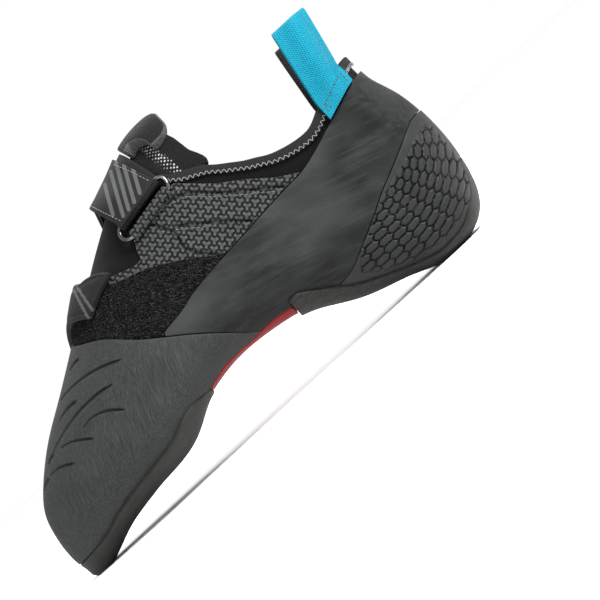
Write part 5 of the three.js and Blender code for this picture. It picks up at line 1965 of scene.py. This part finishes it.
class SHOE_OT_straps(bpy.types.Operator):
    """Makes the instep strap, the forefoot strap, the ring and the pull loops"""

    bl_idname = "shoe.straps"
    bl_label = "Straps"

    def execute(self, context):
        colours, sizes = context.scene.shoe_colours, context.scene.shoe_sizes
        cloth = strap_finish(colours.strap, tuple(colours.ink))
        top, below = make_strap_layers(sizes.medium / MM * 0.9, cloth)
        dress(top, "strap_fabric", "instep_strap")
        dress(below, "strap_fabric")
        dress(make_strap_fold(cloth), "strap_fabric")
        dress(make_forefoot_strap(sizes.medium / MM * 0.8, cloth), "strap_fabric", "forefoot_strap")
        dress(make_ring(steel_finish(colours.steel)), "ring_steel", "ring")
        blue = webbing_finish(colours.loop_blue, "blue webbing")
        black = webbing_finish(colours.loop_black, "black webbing")
        dress(make_loop("outer_loop_webbing", OUTER_LOOP, blue), "webbing_blue", "outer_pull_loop")
        dress(make_loop("inner_loop_webbing", INNER_LOOP, black), "webbing_black", "inner_pull_loop")
        return {"FINISHED"}


class SHOE_OT_stitches(bpy.types.Operator):
    """Sews the collar, the quarters, the straps and the pull loops"""

    bl_idname = "shoe.stitches"
    bl_label = "Stitches"

    def execute(self, context):
        colours = context.scene.shoe_colours
        pale = thread_finish(colours.pale_thread, "pale thread")
        grey = thread_finish(colours.grey_thread, "grey thread")
        blue = thread_finish(shade(colours.loop_blue, 0.08), "dark blue thread")
        dress(make_collar_zigzag(pale), "binding_fabric")
        dress(make_quarter_stitches(grey), "quarter_fabric")
        dress(make_strap_stitches(grey), "strap_fabric")
        dress(make_loop_stitches("outer_loop_stitches", OUTER_LOOP, blue), "webbing_blue")
        dress(make_loop_stitches("inner_loop_stitches", INNER_LOOP, grey), "webbing_black")
        return {"FINISHED"}


def add_light(name, place, target, size, power):
    lamp = bpy.data.lights.new(name, "AREA")
    lamp.shape = "DISK"
    lamp.size = size
    lamp.energy = power
    light = bpy.data.objects.new(name, lamp)
    light.location = place
    light.rotation_euler = (Vector(target) - Vector(place)).to_track_quat("-Z", "Y").to_euler()
    bpy.context.scene.collection.objects.link(light)


class SHOE_OT_stage(bpy.types.Operator):
    """Sets the pale floor, the soft lights and the rolled camera"""

    bl_idname = "shoe.stage"
    bl_label = "Stage"

    def execute(self, context):
        settings = context.scene.shoe_stage
        mesh = bpy.data.meshes.new("floor")
        angles = np.linspace(0, 2 * math.pi, FLOOR_SIDES, endpoint=False)
        corners = [(FLOOR_RADIUS * math.cos(angle), FLOOR_RADIUS * math.sin(angle), 0) for angle in angles]
        mesh.from_pydata(corners, [], [tuple(range(FLOOR_SIDES))])
        floor = bpy.data.objects.new("floor", mesh)
        context.scene.collection.objects.link(floor)
        paper = Finish("white paper", (0.93, 0.93, 0.93), 0.9, specular=0.1)
        paper.bump(paper.noise(0.5, 3.0), 0.01)
        mesh.materials.append(paper.material)
        world = bpy.data.worlds.new("studio")
        context.scene.world = world
        world.use_nodes = True
        backdrop = world.node_tree.nodes["Background"]
        backdrop.inputs["Color"].default_value = (1, 1, 1, 1)
        backdrop.inputs["Strength"].default_value = 1.0
        for lamp in LAMPS:
            add_light(*lamp)
        roll, elevation = settings.roll, settings.elevation
        look = Vector((0, math.cos(elevation), -math.sin(elevation)))
        upright = Vector((0, math.sin(elevation), math.cos(elevation)))
        level = Vector((1, 0, 0))
        right = level * math.cos(roll) - upright * math.sin(roll)
        up = level * math.sin(roll) + upright * math.cos(roll)
        camera_data = bpy.data.cameras.new("camera")
        camera = bpy.data.objects.new("camera", camera_data)
        context.scene.collection.objects.link(camera)
        place = Vector(LOOKED_AT) - look * settings.distance
        basis = Matrix((right, up, -look)).transposed().to_4x4()
        camera.matrix_world = Matrix.Translation(place) @ basis
        camera_data.sensor_width = SENSOR_WIDTH
        camera_data.lens = SENSOR_WIDTH * settings.distance / settings.frame_width
        camera_data.clip_end = 20
        context.scene.camera = camera
        context.scene.view_settings.view_transform = "Standard"
        return {"FINISHED"}


class SHOE_PT_sidebar(bpy.types.Panel):
    """Lists the shoe's colours, sizes and operators."""

    bl_label = "Climbing shoe"
    bl_idname = "SHOE_PT_sidebar"
    bl_space_type = "VIEW_3D"
    bl_region_type = "UI"
    bl_category = "Shoe"

    def draw(self, context):
        layout = self.layout
        for settings in (context.scene.shoe_colours, context.scene.shoe_sizes, context.scene.shoe_stage):
            for name in settings.__annotations__:
                layout.prop(settings, name)
        for operator in OPERATORS:
            layout.operator(operator.bl_idname)


OPERATORS = [SHOE_OT_upper, SHOE_OT_rubber, SHOE_OT_panels, SHOE_OT_straps, SHOE_OT_stitches, SHOE_OT_stage]
SETTINGS = {"shoe_colours": ShoeColours, "shoe_sizes": ShoeSizes, "shoe_stage": StageSettings}


def register():
    for item in [*SETTINGS.values(), *OPERATORS, SHOE_PT_sidebar]:
        bpy.utils.register_class(item)
    for name, kind in SETTINGS.items():
        setattr(bpy.types.Scene, name, bpy.props.PointerProperty(type=kind))


def unregister():
    for name in SETTINGS:
        delattr(bpy.types.Scene, name)
    for item in [SHOE_PT_sidebar, *reversed(OPERATORS), *SETTINGS.values()]:
        bpy.utils.unregister_class(item)


def main():
    register()
    bpy.ops.shoe.upper()
    bpy.ops.shoe.rubber()
    bpy.ops.shoe.panels()
    bpy.ops.shoe.straps()
    bpy.ops.shoe.stitches()
    bpy.ops.shoe.stage()


if __name__ == "__main__":
    main()
